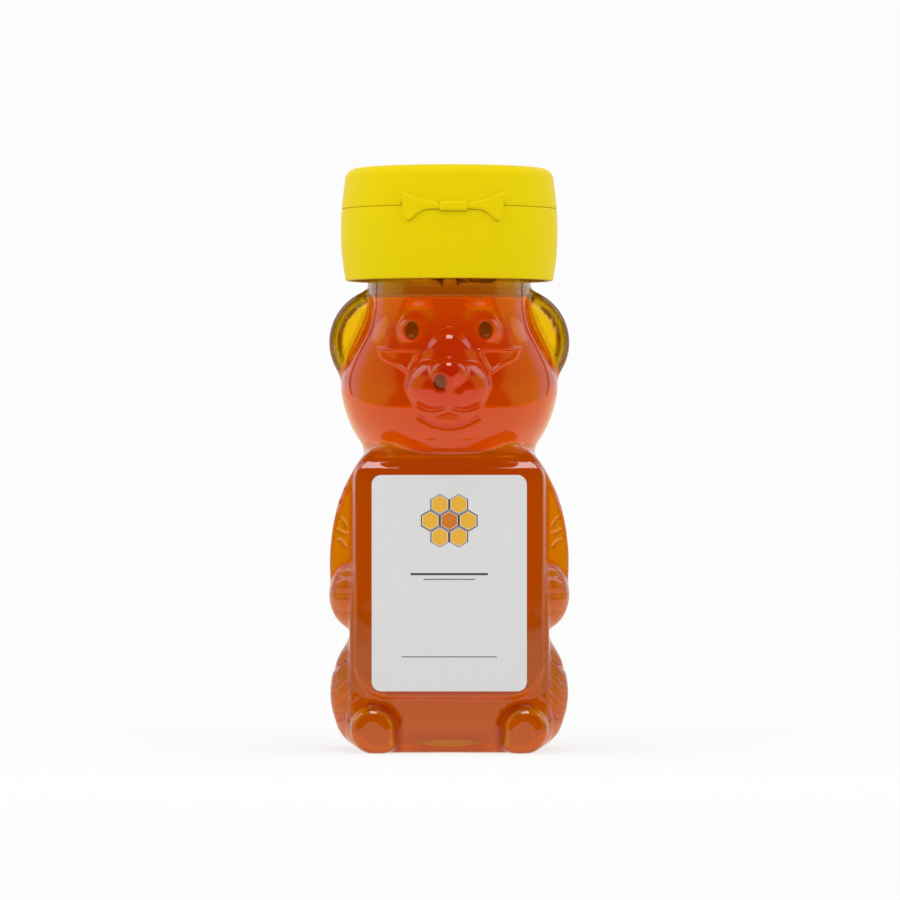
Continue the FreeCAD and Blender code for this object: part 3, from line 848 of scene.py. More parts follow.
def paint_tint_and_shade(skin, plain):
    """Writes the wall's colour, mostly painted shade: dark pupils, left nostril, mouth grooves and ear rims,
    shaded fur grooves and foot edges, a darker torso than head, a darker lower panel and base, and a painted
    highlight above each eye.
    """
    p = points(skin)
    x, y, z = p.T
    mirrored = on_right(p)
    side = mirrored[:, 0]
    shades = np.tile(np.array(plain), (len(p), 1))

    def lay(share, colour):
        shades[:] += share[:, None] * (np.array(colour) * np.array(plain) - shades)

    torso = 1 - ease_in(z, *TORSO_SHADE_Z)
    arm = 1 - ease_in(arm_distance(mirrored), *LIMB_TINT_EDGE)
    paw = 1 - ease_in(z, *ARM_TINT_Z)
    to_foot = foot_distance(mirrored)
    # Where painted shade lies on the foot's rounding, towards its front
    shaded_foot_edge = (1 - ease_in(to_foot, 0.5, 2.2)) * ease_in(y, *FOOT_EDGE_Y) * (y < 0)
    neck = ease_in(z, *NECK_TINT_Z)
    ear_x, _, ear_z = (mirrored - EAR.centre).T
    ear = 1 - ease_in(ear_distance(mirrored) - head_distance(p), -0.6, 0.2)
    # Painted shade: the head above the chin darker and redder than the lower head
    lay(ease_in(z, *HEAD_SHADE_Z), HEAD_TINT_AND_SHADE)
    # Painted shade: everything below the head darker than the head
    lay(torso, TORSO_SHADE)
    lay(torso * ease_in(z, *PANEL_TOP_TINT_Z), PANEL_TOP_TINT)
    # Painted shade on the lower panel
    lay(ease_in(z, *PANEL_LOW_SHADE_Z) * (1 - ease_in(z, *PANEL_LOW_FADE_Z)), PANEL_LOW_SHADE)
    # Painted shade of the push-up dome, low in the middle of the base
    lay((1 - ease_in(z, *BASE_SHADE_Z)) * (1 - ease_in(side, *BASE_SHADE_X)), BASE_SHADE)
    lay(arm * (1 - paw), ARM_TINT)
    lay(arm * paw * ease_in(y, *PAW_BACK_Y), PAW_BACK_TINT)
    # Painted shade in the fur grooves
    for groove in FUR:
        lay(sunk_groove(side, z, groove) / groove.depth * (y < -4), FUR_GROOVE_SHADE)
    lay(1 - ease_in(to_foot, *LIMB_TINT_EDGE), FOOT_TINT)
    # Painted shade on the foot's inner rounding
    lay(shaded_foot_edge * (1 - ease_in(side, *FOOT_EDGE_X)), FOOT_EDGE_SHADE)
    lay(neck, NECK_TINT)
    lay(neck * ease_in(side, *NECK_SIDE_X), NECK_SIDE_TINT)
    lay(ear, EAR_TINT)
    # Painted shade on the ear rims
    lay(ear * ease_in(np.hypot(ear_x, ear_z), *EAR_RIM_REACH), EAR_RIM_SHADE)
    face = (y < -10) & (z > 72)
    # Painted highlight: a lighter crescent above each eye
    lay(sunk_groove(side, z, EYELID) * face, EYELID_HIGHLIGHT)
    # Painted shade in the mouth grooves
    for groove in MOUTH:
        lay(sunk_groove(x, z, groove) / groove.depth * face, MOUTH_GROOVE_SHADE)
    # Painted shade on the pupils and the left nostril
    for spot in (*PUPILS, NOSTRILS[0]):
        lay(step(spot_distance(x, z, spot), 0.35) * face, PUPIL_AND_NOSTRIL_SHADE)
    mark = skin.data.attributes.new("tint_and_shade", "FLOAT_COLOR", "POINT")
    mark.data.foreach_set("color", np.concatenate([shades, np.ones((len(p), 1))], axis=1).ravel())


def mark_cloudy(skin):
    """Marks where cloudy honey lies deep behind the wall, so that the wall mirrors no light back in there."""
    p = points(skin)
    mirrored = on_right(p)
    ear = 1 - ease_in(ear_distance(mirrored) - np.minimum(head_distance(p), torso_distance(p)), -1.5, 0)
    leg = 1 - ease_in(np.minimum(leg_distance(mirrored), foot_distance(mirrored)), 0.2, 1.5)
    mark = skin.data.attributes.new("cloudy", "FLOAT", "POINT")
    mark.data.foreach_set("value", (1 - ear) * (1 - 0.5 * leg))


def thread_ridge(name, radius, outward, low, start, turns):
    """A ridge that winds up a cylinder from a start angle in turns, and fades at both ends."""
    side = 1 if outward else -1
    section = np.array(THREAD_SECTION) * (side, 1)
    ridge = drawn(name, [(radius + r, low + z) for r, z in (*section, section[0])])
    bpy.ops.mesh.select_all(action="SELECT")
    bpy.ops.mesh.remove_doubles(threshold=WELD * MM)
    bpy.ops.object.mode_set(mode="OBJECT")
    steps = int(96 * turns) + 1
    finish_with(ridge, "SCREW", angle=math.tau * turns, screw_offset=THREAD_PITCH * turns * MM, steps=steps,
                render_steps=steps, use_merge_vertices=False)
    p = points(ridge)
    angle = np.unwrap(np.arctan2(p[:, 1], p[:, 0]).reshape(-1, len(section)), axis=0).ravel()
    along = (angle - angle.min()) / (angle.max() - angle.min())
    fade = ease_in(np.minimum(along, 1 - along), 0, 0.1)
    reach = np.hypot(p[:, 0], p[:, 1]) - radius
    reach = np.where(reach * side > 0, reach * fade, reach) - 0.05 * side * (1 - fade) + radius
    angle += math.tau * start
    move_points(ridge, np.stack([reach * np.cos(angle), reach * np.sin(angle), p[:, 2]], axis=1))
    edit_all(ridge)
    bpy.ops.mesh.fill_holes(sides=0)
    bpy.ops.object.mode_set(mode="OBJECT")
    face_outward(ridge)
    return ridge


def add_neck(skin):
    """The screw finish above the neck ring, with a rounded rim."""
    outline = [(0, FINISH_LOW), (FINISH_RADIUS, FINISH_LOW)]
    for angle in np.linspace(0, math.pi / 2, 6):
        inward, down = RIM_ROUNDING * (1 - math.cos(angle)), RIM_ROUNDING * (1 - math.sin(angle))
        outline.append((FINISH_RADIUS - inward, RIM_Z - down))
    outline.append((0, RIM_Z))
    cut(skin, turned("finish", outline), "UNION")
    cut(skin, thread_ridge("thread", FINISH_RADIUS, True, THREAD_START, 0, THREAD_TURNS), "UNION")


def rounded(corners, closed):
    """The outline through (reach, height, rounding) corners as a chain of points."""
    chain = []
    for i, (reach, height, rounding) in enumerate(corners):
        here = np.array((reach, height))
        if rounding == 0:
            chain.append(here)
            continue
        before = np.array(corners[i - 1][:2]) - here
        after = np.array(corners[(i + 1) % len(corners)][:2]) - here
        before /= np.linalg.norm(before)
        after /= np.linalg.norm(after)
        opening = math.acos(before @ after)
        middle = (before + after) / np.linalg.norm(before + after)
        centre = here + middle * rounding / math.sin(opening / 2)
        start = here + before * rounding / math.tan(opening / 2) - centre
        end = here + after * rounding / math.tan(opening / 2) - centre
        sweep = math.pi - opening
        for t in np.linspace(0, 1, 4 + int(rounding * 3)):
            between = math.sin((1 - t) * sweep) * start + math.sin(t * sweep) * end
            chain.append(centre + between / math.sin(sweep))
    if closed:
        chain.append(chain[0])
    return chain


def grid_slab(name, cells):
    """A slab of small squares, and its points' places: -1 to 1 across and along it, 0 to 1 through it."""
    bpy.ops.object.select_all(action="DESELECT")
    bpy.ops.mesh.primitive_grid_add(x_subdivisions=cells[0], y_subdivisions=cells[1], size=2 * MM)
    slab = bpy.context.object
    slab.name = name
    finish_with(slab, "SOLIDIFY", thickness=MM, offset=1.0)
    return slab, points(slab).T


def wrapped(name, cells, place):
    """A slab laid round the cap: place(u, v, outer) gives its length along the wall, height and reach."""
    slab, (u, v, layer) = grid_slab(name, cells)
    along, height, reach = place(u, (v + 1) / 2, layer > 0.5)
    angle = along / CAP_RADIUS
    move_points(slab, np.stack([reach * np.sin(angle), -reach * np.cos(angle), height], axis=1))
    face_outward(slab)
    return slab


def bow_edges(u, grow):
    """Length and height of the bow's top and lower edges, from one end at -1 to the other at 1."""
    t = np.abs(u)
    edges = []
    for chain, side in ((BOW_TOP, 1), (BOW_LOW, -1)):
        along = np.sign(u) * spline([(s, a) for s, (a, _) in zip(BOW_STATIONS, chain)])(t)[0]
        height = spline([(s, z) for s, (_, z) in zip(BOW_STATIONS, chain)])(t)[0]
        edges.append((along * (1 + grow / BOW_HALF), height + side * grow))
    return edges


def rounding_drop(distance):
    """How far a rounded edge falls at a distance from its border."""
    inward = BOW_ROUNDING - np.clip(distance, 0, BOW_ROUNDING)
    return BOW_ROUNDING - np.sqrt(BOW_ROUNDING**2 - inward**2)


def add_bow():
    def place(u, v, outer):
        (top_along, top), (low_along, low) = bow_edges(u, 0)
        reach = BOW_OUTER + BOW_END_LIFT * ease_in(np.abs(u), 0.3, 1.0)
        reach += BOW_CROWN * np.sin(math.pi * v) * (1 - np.abs(u))
        reach -= rounding_drop(np.minimum(v, 1 - v) * (top - low)) + rounding_drop((1 - np.abs(u)) * BOW_HALF)
        along = low_along + (top_along - low_along) * v + BOW_SHIFT
        return along, low + (top - low) * v, np.where(outer, reach, BOW_INNER)

    return wrapped("bow", (120, 28), place)


def add_knot():
    def place(u, v, outer):
        height = KNOT_LOW + (KNOT_HIGH - KNOT_LOW) * v
        slope = ease_in(v, 0.66, 1.0)
        ribs = KNOT_RIB * np.cos(u * math.pi * KNOT_RIBS) * ease_in(v, 0.6, 0.8)
        reach = KNOT_OUTER - KNOT_SLOPE * slope - KNOT_FOOT * (1 - ease_in(v, 0.0, 0.2)) + ribs
        reach -= rounding_drop((1 - np.abs(u)) * KNOT_HALF) * 0.6
        return u * KNOT_HALF + BOW_SHIFT, height, np.where(outer, reach, BOW_INNER)

    return wrapped("knot", (72, 18), place)


def bow_pocket():
    def place(u, v, outer):
        (top_along, top), (low_along, low) = bow_edges(u, BOW_CLEARANCE)
        along = low_along + (top_along - low_along) * v + BOW_SHIFT
        return along, low + (top - low) * v, np.where(outer, POCKET_OUTER, BOW_INNER - BOW_CLEARANCE)

    return wrapped("pocket", (120, 4), place)


def knot_pocket():
    def place(u, v, outer):
        height = KNOT_LOW + (KNOT_HIGH - KNOT_LOW) * v + BOW_CLEARANCE * (2 * v - 1)
        along = u * (KNOT_HALF + BOW_CLEARANCE) + BOW_SHIFT
        return along, height, np.where(outer, POCKET_OUTER, BOW_INNER - BOW_CLEARANCE)

    return wrapped("knot_pocket", (24, 4), place)


def bow_notch(side):
    """The wedge of shade beside the bow's end."""
    inner, outer_low, top = NOTCH

    def place(u, v, outer):
        share = (u + 1) / 2
        low_along = inner[0] + (outer_low[0] - inner[0]) * share
        along = low_along + (top[0] + 0.12 * (share - 0.5) - low_along) * v
        height = inner[1] - 0.4 + (top[1] - inner[1] + 0.4) * v
        return side * along + BOW_SHIFT, height, np.where(outer, POCKET_OUTER, BOW_INNER)

    return wrapped("notch", (4, 6), place)


def hinge_flat():
    """The block that cuts the cap and the lid flat behind the web."""
    middle = (HINGE_LOW + HINGE_HIGH) / 2
    bpy.ops.mesh.primitive_cube_add(
        size=2 * MM, location=(0, (HINGE_FLAT_Y + HINGE_FLAT_HALF[1]) * MM, middle * MM),
        scale=(*HINGE_FLAT_HALF, HINGE_HIGH - middle))
    bpy.ops.object.transform_apply(location=True, rotation=True, scale=True)
    return bpy.context.object


def hinge_web(name):
    """The thin strip behind the cap, thinnest along its fold."""
    low, high = (np.array(corner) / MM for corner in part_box("living_hinge"))
    web, (u, v, layer) = grid_slab(name, (16, 24))
    thick = (high[1] - low[1]) * (1 - FOLD_THINNING * np.exp(-((v / FOLD_WIDTH) ** 2)))
    thick *= 1 - WEB_EDGE_THINNING * ease_in(np.abs(u), 0.9, 1.0)
    height = (low[2] + high[2]) / 2 + v * (high[2] - low[2]) / 2
    move_points(web, np.stack([u * high[0], low[1] + thick * layer, height], axis=1))
    face_outward(web)
    return web


def new_material(name, **values):
    """A material with values on its main shader's sockets, whose spaces are underscores here."""
    material = bpy.data.materials.new(name)
    material.use_nodes = True
    tree = material.node_tree
    shader = tree.nodes["Principled BSDF"]
    for socket, value in values.items():
        shader.inputs[socket.replace("_", " ")].default_value = value
    return material, tree, shader


def add_node(tree, kind, **settings):
    node = tree.nodes.new(kind)
    for name, value in settings.items():
        setattr(node, name, value)
    return node


def link(tree, source, output, target, socket):
    tree.links.new(source.outputs[output], target.inputs[socket])


def show(tree, shader_output):
    """Makes a shader the one that the material's surface shows."""
    tree.links.new(shader_output, tree.nodes["Material Output"].inputs["Surface"])


def math_node(tree, operation, first, *others):
    """Math nodes over sockets or plain numbers, one after another where there are more than two terms."""
    for other in others or (None,):
        node = add_node(tree, "ShaderNodeMath", operation=operation)
        for socket, term in zip(node.inputs, (first, other)):
            if isinstance(term, (int, float)):
                socket.default_value = term
            elif term is not None:
                tree.links.new(term, socket)
        first = node.outputs[0]
    return first


def vector_node(tree, operation, *terms):
    """A Vector Math node over sockets or plain triples."""
    node = add_node(tree, "ShaderNodeVectorMath", operation=operation)
    for socket, term in zip(node.inputs, terms):
        if isinstance(term, tuple):
            socket.default_value = term
        else:
            tree.links.new(term, socket)
    return node.outputs["Value"] if operation == "LENGTH" else node.outputs["Vector"]


def ease(tree, value, low, high):
    """0 below low, 1 above high, eased between."""
    node = add_node(tree, "ShaderNodeMapRange", interpolation_type="SMOOTHSTEP")
    tree.links.new(value, node.inputs["Value"])
    node.inputs["From Min"].default_value = low
    node.inputs["From Max"].default_value = high
    return node.outputs["Result"]


def ease_out(tree, value, low, high):
    """1 below low, 0 above high, eased between."""
    return math_node(tree, "SUBTRACT", 1.0, ease(tree, value, low, high))


def mixed(tree, share, first, second):
    """Two shaders mixed, with a share of the second."""
    mix = add_node(tree, "ShaderNodeMixShader")
    for socket, term in zip(mix.inputs, (share, first, second)):
        tree.links.new(term, socket)
    return mix.outputs[0]


def mixed_colour(tree, share, first, second):
    """Two colours mixed, with a share of the second; a plain triple may stand for either."""
    node = add_node(tree, "ShaderNodeMix", data_type="RGBA")
    tree.links.new(share, node.inputs["Factor"])
    for name, colour in (("A", first), ("B", second)):
        if isinstance(colour, tuple):
            node.inputs[name].default_value = (*colour, 1)
        else:
            tree.links.new(colour, node.inputs[name])
    return node.outputs["Result"]


def coordinates(tree, kind="Object"):
    """The place of the point that is shaded or, in the world, the direction looked in."""
    return add_node(tree, "ShaderNodeTexCoord").outputs[kind]


def parts_of(tree, vector):
    node = add_node(tree, "ShaderNodeSeparateXYZ")
    tree.links.new(vector, node.inputs["Vector"])
    return [node.outputs[axis] for axis in "XYZ"]


def object_noise(tree, scale, detail):
    noise = add_node(tree, "ShaderNodeTexNoise")
    noise.inputs["Scale"].default_value = scale
    noise.inputs["Detail"].default_value = detail
    tree.links.new(coordinates(tree), noise.inputs["Vector"])
    return noise.outputs["Fac"]


def bump(tree, shader, height, strength, distance):
    node = add_node(tree, "ShaderNodeBump")
    node.inputs["Strength"].default_value = strength
    node.inputs["Distance"].default_value = distance
    tree.links.new(height, node.inputs["Height"])
    link(tree, node, "Normal", shader, "Normal")


def clear_plastic(settings):
    """The wall, with painted shade and colour laid on point by point; where honey lies behind it, most light
    leaves it unbent.
    """
    material, tree, shader = new_material(
        "clear plastic", Base_Color=(*settings.plastic_colour, 1), Transmission_Weight=1.0,
        Roughness=0.02, IOR=settings.plastic_ior)
    painted_colour = add_node(tree, "ShaderNodeAttribute", attribute_name="tint_and_shade")
    link(tree, painted_colour, "Color", shader, "Base Color")
    bump(tree, shader, object_noise(tree, 160.0, 1.0), 0.1, 0.0004)
    cloudy = add_node(tree, "ShaderNodeAttribute", attribute_name="cloudy")
    side = add_node(tree, "ShaderNodeNewGeometry")
    leaving = math_node(tree, "MULTIPLY", cloudy.outputs["Fac"], side.outputs["Backfacing"], CLOUDY_UNBENT)
    straight = add_node(tree, "ShaderNodeBsdfTransparent")
    show(tree, mixed(tree, leaving, shader.outputs[0], straight.outputs[0]))
    return material


def wetted_wall():
    """The inside of the wall where honey lies against it, so that it neither mirrors nor bends light."""
    material, tree, shader = new_material("wetted wall")
    tree.nodes.remove(shader)
    show(tree, add_node(tree, "ShaderNodeBsdfTransparent").outputs[0])
    return material


def honey(settings):
    """A clear volume that darkens with depth; only its free surface bends light."""
    material, tree, shader = new_material(
        "honey", Base_Color=(1, 1, 1, 1), Transmission_Weight=1.0, Roughness=0.0)
    z = parts_of(tree, coordinates(tree))[2]
    is_top = math_node(tree, "GREATER_THAN", z, (HONEY_LEVEL - 0.03) * MM)
    ior = math_node(tree, "ADD", math_node(tree, "MULTIPLY", is_top, settings.honey_ior - 1), 1.0)
    tree.links.new(ior, shader.inputs["IOR"])
    depth = add_node(tree, "ShaderNodeVolumeAbsorption")
    depth.inputs["Color"].default_value = (*settings.honey_colour, 1)
    depth.inputs["Density"].default_value = settings.honey_density
    link(tree, depth, "Volume", tree.nodes["Material Output"], "Volume")
    return material


def yellow_plastic(settings):
    material, tree, shader = new_material(
        "yellow plastic", Base_Color=(*settings.cap_colour, 1), Roughness=0.5, IOR=1.49,
        Specular_IOR_Level=0.06, Sheen_Weight=0.12, Sheen_Roughness=0.3)
    bump(tree, shader, object_noise(tree, 2600.0, 3.0), 0.15, 0.00006)
    return material


def liner_foam():
    material, tree, shader = new_material("liner foam", Base_Color=(0.85, 0.85, 0.83, 1), Roughness=0.8)
    bump(tree, shader, object_noise(tree, 1800.0, 2.0), 0.3, 0.0001)
    return material


def hexagon(tree, middle_to_point):
    """How far a point is from a hexagon's middle, measured to its flat sides."""
    x, y, _ = parts_of(tree, vector_node(tree, "ABSOLUTE", middle_to_point))
    along = math_node(tree, "MULTIPLY", x, 0.5)
    across = math_node(tree, "MULTIPLY", y, math.sqrt(0.75))
    return math_node(tree, "MAXIMUM", x, math_node(tree, "ADD", along, across))


def line_mask(tree, value, middle, half):
    """1 within half a line's width of a middle value."""
    off = math_node(tree, "ABSOLUTE", math_node(tree, "SUBTRACT", value, middle))
    return ease_out(tree, off, half * 0.6, half * 1.4)


def comb_masks(tree, x, z):
    """Masks for the fill, the middle cell and the walls of a honeycomb of seven cells."""
    flat = add_node(tree, "ShaderNodeCombineXYZ")
    tree.links.new(x, flat.inputs["X"])
    tree.links.new(math_node(tree, "SUBTRACT", z, COMB_Z), flat.inputs["Y"])
    here = flat.outputs["Vector"]
    half = (COMB_CELL / 2, COMB_CELL * math.sqrt(0.75), 1.0)
    minus_half = tuple(-h for h in half)
    near = vector_node(tree, "WRAP", here, half, minus_half)
    other = vector_node(tree, "WRAP", vector_node(tree, "SUBTRACT", here, half), half, minus_half)
    lengths = [vector_node(tree, "LENGTH", way) for way in (near, other)]
    cell = add_node(tree, "ShaderNodeMix", data_type="VECTOR")
    tree.links.new(math_node(tree, "LESS_THAN", *lengths), cell.inputs["Factor"])
    tree.links.new(other, cell.inputs[4])
    tree.links.new(near, cell.inputs[5])
    in_cell = cell.outputs[1]
    away = vector_node(tree, "LENGTH", vector_node(tree, "SUBTRACT", here, in_cell))
    in_comb = math_node(tree, "LESS_THAN", away, COMB_CELL * 1.2)
    at_heart = math_node(tree, "LESS_THAN", away, COMB_CELL * 0.2)
    reach = hexagon(tree, in_cell)
    fill = ease_out(tree, reach, COMB_CELL * 0.39, COMB_CELL * 0.42)
    wall = line_mask(tree, reach, COMB_CELL * 0.47, COMB_LINE / 2)
    pairs = ((fill, in_comb), (fill, at_heart), (wall, in_comb))
    return [math_node(tree, "MULTIPLY", *pair) for pair in pairs]


def label_paper(settings):
    """Pale paper with a plain honeycomb and three rules printed on its front."""
    material, tree, shader = new_material("label paper", Roughness=0.5)
    shades = [tuple(c * share for c in settings.label_colour) for share in PAPER_SHADES]
    paper = mixed_colour(tree, object_noise(tree, 900.0, 4.0), *shades)
    x, y, z = parts_of(tree, coordinates(tree))
    x_mm = math_node(tree, "DIVIDE", x, MM)
    z_mm = math_node(tree, "DIVIDE", z, MM)
    colour = paper
    for mask, ink in zip(comb_masks(tree, x_mm, z_mm), (COMB_INK, HEART_INK, LINE_INK)):
        colour = mixed_colour(tree, mask, colour, ink)
    side = math_node(tree, "ABSOLUTE", x_mm)
    for rule_z, rule_half, width in LABEL_RULES:
        short = math_node(tree, "LESS_THAN", side, rule_half)
        rule = math_node(tree, "MULTIPLY", line_mask(tree, z_mm, rule_z, width / 2), short)
        colour = mixed_colour(tree, rule, colour, LINE_INK)
    front, rear = (corner[1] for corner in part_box("front_label"))
    in_front = math_node(tree, "LESS_THAN", y, (front + rear) / 2)
    tree.links.new(mixed_colour(tree, in_front, paper, colour), shader.inputs["Base Color"])
    bump(tree, shader, object_noise(tree, 3000.0, 3.0), 0.1, 0.00003)
    return material


def dress(piece, material):
    piece.data.materials.clear()
    piece.data.materials.append(material)


def seen_rays(tree):
    """Masks for camera, mirrored and through-going rays, of which at most one is 1, and for all three."""
    path = add_node(tree, "ShaderNodeLightPath")
    camera = path.outputs["Is Camera Ray"]
    through = path.outputs["Is Transmission Ray"]
    reflected = math_node(tree, "SUBTRACT", 1.0, through)
    mirrored = math_node(tree, "MULTIPLY", path.outputs["Is Glossy Ray"], reflected)
    return camera, mirrored, through, math_node(tree, "ADD", camera, mirrored, through)


def floor_white():
    """White paper with the object's shadow near it; mirrored rays see it dimmer and with a painted amber
    glow, and dark far in front.
    """
    material, tree, shader = new_material(
        "floor", Base_Color=(0.8, 0.8, 0.8, 1), Roughness=1.0, Specular_IOR_Level=0.0)
    _, mirrored, through, seen = seen_rays(tree)
    near = ease(tree, parts_of(tree, coordinates(tree))[1], *FLOOR_NEAR_Y)
    far = math_node(tree, "SUBTRACT", 1.0, math_node(tree, "MULTIPLY", near, FLOOR_MIRRORED))
    dim_mirrored = math_node(tree, "MULTIPLY", mirrored, far)
    dim_through = math_node(tree, "MULTIPLY", through, 1 - FLOOR_THROUGH)
    level = math_node(tree, "SUBTRACT", 1.0, math_node(tree, "ADD", dim_mirrored, dim_through))
    glow = add_node(tree, "ShaderNodeEmission")
    tree.links.new(math_node(tree, "MULTIPLY", level, BACKDROP), glow.inputs["Strength"])
    # Painted amber glow on the floor, for mirrored rays only
    tree.links.new(mixed_colour(tree, mirrored, (1, 1, 1), FLOOR_MIRRORED_AMBER_GLOW), glow.inputs["Color"])
    shade = add_node(tree, "ShaderNodeBsdfDiffuse")
    shade.inputs["Color"].default_value = (0.95, 0.95, 0.95, 1)
    by_object = ease_out(tree, vector_node(tree, "LENGTH", coordinates(tree)), *FLOOR_SHADOW_REACH)
    shadowed = math_node(tree, "MULTIPLY", by_object, FLOOR_SHADOW)
    pale = mixed(tree, shadowed, glow.outputs[0], shade.outputs[0])
    show(tree, mixed(tree, seen, shader.outputs[0], pale))
    return material


def studio_world(scene):
    """White all round; mirrored rays see a dark room in front, warm side walls and softboxes."""
    world = bpy.data.worlds.new("studio")
    world.use_nodes = True
    scene.world = world
    tree = world.node_tree
    camera, mirrored, through, seen = seen_rays(tree)
    x, back, up = parts_of(tree, coordinates(tree, "Generated"))
    side = math_node(tree, "ABSOLUTE", x)
    below_ceiling = ease_out(tree, up, *CEILING_UP)
    wall = math_node(
        tree, "MULTIPLY", ease(tree, back, *WALL_FRONT), ease_out(tree, back, *WALL_BACK), below_ceiling,
        WALL_MIRRORED)
    room = math_node(tree, "ADD", wall, ease(tree, back, *BACKDROP_FRONT), ROOM_DARK)
    overhead = math_node(
        tree, "MULTIPLY", ease(tree, up, *SOFTBOX_UP), SOFTBOX_MIRRORED, ease_out(tree, side, *SOFTBOX_SIDE),
        ease(tree, back, *SOFTBOX_FRONT), ease_out(tree, back, *SOFTBOX_BACK))
    aside = math_node(
        tree, "MULTIPLY", ease(tree, side, *SIDE_SOFTBOX_SIDE), SIDE_SOFTBOX_MIRRORED,
        ease(tree, up, *SIDE_SOFTBOX_LOW), ease(tree, back, *SIDE_SOFTBOX_FRONT),
        ease_out(tree, up, *SIDE_SOFTBOX_HIGH), ease_out(tree, back, *SIDE_SOFTBOX_BACK))
    room = math_node(tree, "MAXIMUM", room, overhead, aside)
    warm = math_node(tree, "MULTIPLY", mirrored, ease_out(tree, back, *WARM_BACK), below_ceiling)
    ahead = math_node(
        tree, "MULTIPLY", ease_out(tree, back, *AHEAD_BACK), ease_out(tree, up, *AHEAD_UP), 1 - AHEAD_THROUGH)
    clear = math_node(tree, "SUBTRACT", 1.0, ahead)
    lit = math_node(tree, "SUBTRACT", 1.0, seen)
    rays = ((camera, BACKDROP), (mirrored, room), (through, clear), (lit, WORLD_LIGHT))
    level = math_node(tree, "ADD", *(math_node(tree, "MULTIPLY", *ray) for ray in rays))
    background = tree.nodes["Background"]
    tree.links.new(mixed_colour(tree, warm, (1, 1, 1), WALL_TINT), background.inputs["Color"])
    tree.links.new(level, background.inputs["Strength"])


def add_lamp(name, place, aim, size, power):
    """A square lamp that lights the object and isn't seen in it."""
    lamp = bpy.data.lights.new(name, "AREA")
    lamp.size = size
    lamp.energy = power
    holder = bpy.data.objects.new(name, lamp)
    bpy.context.collection.objects.link(holder)
    holder.location = place
    holder.rotation_euler = (Vector(aim) - Vector(place)).to_track_quat("-Z", "Y").to_euler()
    holder.visible_glossy = False
    holder.visible_transmission = False
    holder.visible_camera = False


class BearSettings(bpy.types.PropertyGroup):
    plastic_colour: bpy.props.FloatVectorProperty(
        name="Plastic colour", description="Tint of the clear bottle", subtype="COLOR",
        default=(0.98, 0.975, 0.96))
    plastic_ior: bpy.props.FloatProperty(
        name="Plastic index", description="How strongly the bottle bends light", default=1.55)
    honey_colour: bpy.props.FloatVectorProperty(
        name="Honey colour", description="Light that the honey lets through", subtype="COLOR",
        default=(0.9833, 0.8983, 0.0))
    honey_density: bpy.props.FloatProperty(
        name="Honey strength", description="How fast the honey darkens with depth, per metre", default=600.0)
    honey_ior: bpy.props.FloatProperty(
        name="Honey index", description="How strongly the honey's free surface bends light", default=1.5)
    cap_colour: bpy.props.FloatVectorProperty(
        name="Cap colour", description="Colour of the cap, lid and hinge", subtype="COLOR",
        default=(0.775, 0.60, 0.0))
    label_colour: bpy.props.FloatVectorProperty(
        name="Label colour", description="Colour of the label's paper", subtype="COLOR",
        default=(0.70, 0.70, 0.70))


class BEAR_OT_bottle(bpy.types.Operator):
    """Press the clear bottle into its bear shape, with its neck and hollow"""
    bl_idname = "bear.bottle"
    bl_label = "Bottle"

    def execute(self, context):
        settings = context.scene.honey_bear
        skin = pressed_skin()
        add_neck(skin)
        hollow = pressed("honey", INNER_VOXEL, lambda p: inside_distance(p, WALL))
        cavity = hollow.copy()
        cavity.data = hollow.data.copy()
        context.collection.objects.link(cavity)
        cut(cavity, plug("bore", BORE_RADIUS, RIM_Z + 3), "UNION")
        cut(skin, cavity, "DIFFERENCE")
        slice_at(skin, HONEY_LEVEL)
        dress(skin, clear_plastic(settings))
        skin.data.materials.append(wetted_wall())
        centres = face_centres(skin)
        from_axis = np.hypot(centres[:, 0], centres[:, 1])
        in_bore = (from_axis < BORE_RADIUS + 0.1) & (centres[:, 2] > BORE_FACES_LOW)
        inner = (bear_distance(centres, False) < -0.75 * WALL) | in_bore
        wet = inner & (centres[:, 2] < HONEY_LEVEL)
        skin.data.polygons.foreach_set("material_index", wet.astype(np.int32))
        paint_tint_and_shade(skin, settings.plastic_colour)
        mark_cloudy(skin)
        smooth_by_angle(skin, 50)
        true_normals(skin)
        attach(skin, "bottle")
        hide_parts("bottle_shell")
        return {"FINISHED"}


class BEAR_OT_honey(bpy.types.Operator):
    """Fill the hollow with honey up to its level"""
    bl_idname = "bear.honey"
    bl_label = "Honey"

    def execute(self, context):
        fill = bpy.data.objects["honey"]
        press_to(fill, lambda p: inside_distance(p, WALL + FILM), 4)
        cut(fill, plug("neck_fill", BORE_RADIUS - FILM, RIM_Z), "UNION")
        slice_at(fill, HONEY_LEVEL, clear_outer=True, use_fill=True)
        dress(fill, honey(context.scene.honey_bear))
        smooth_by_angle(fill, 40)
        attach(fill, "bottle")
        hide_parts("honey_fill")
        return {"FINISHED"}


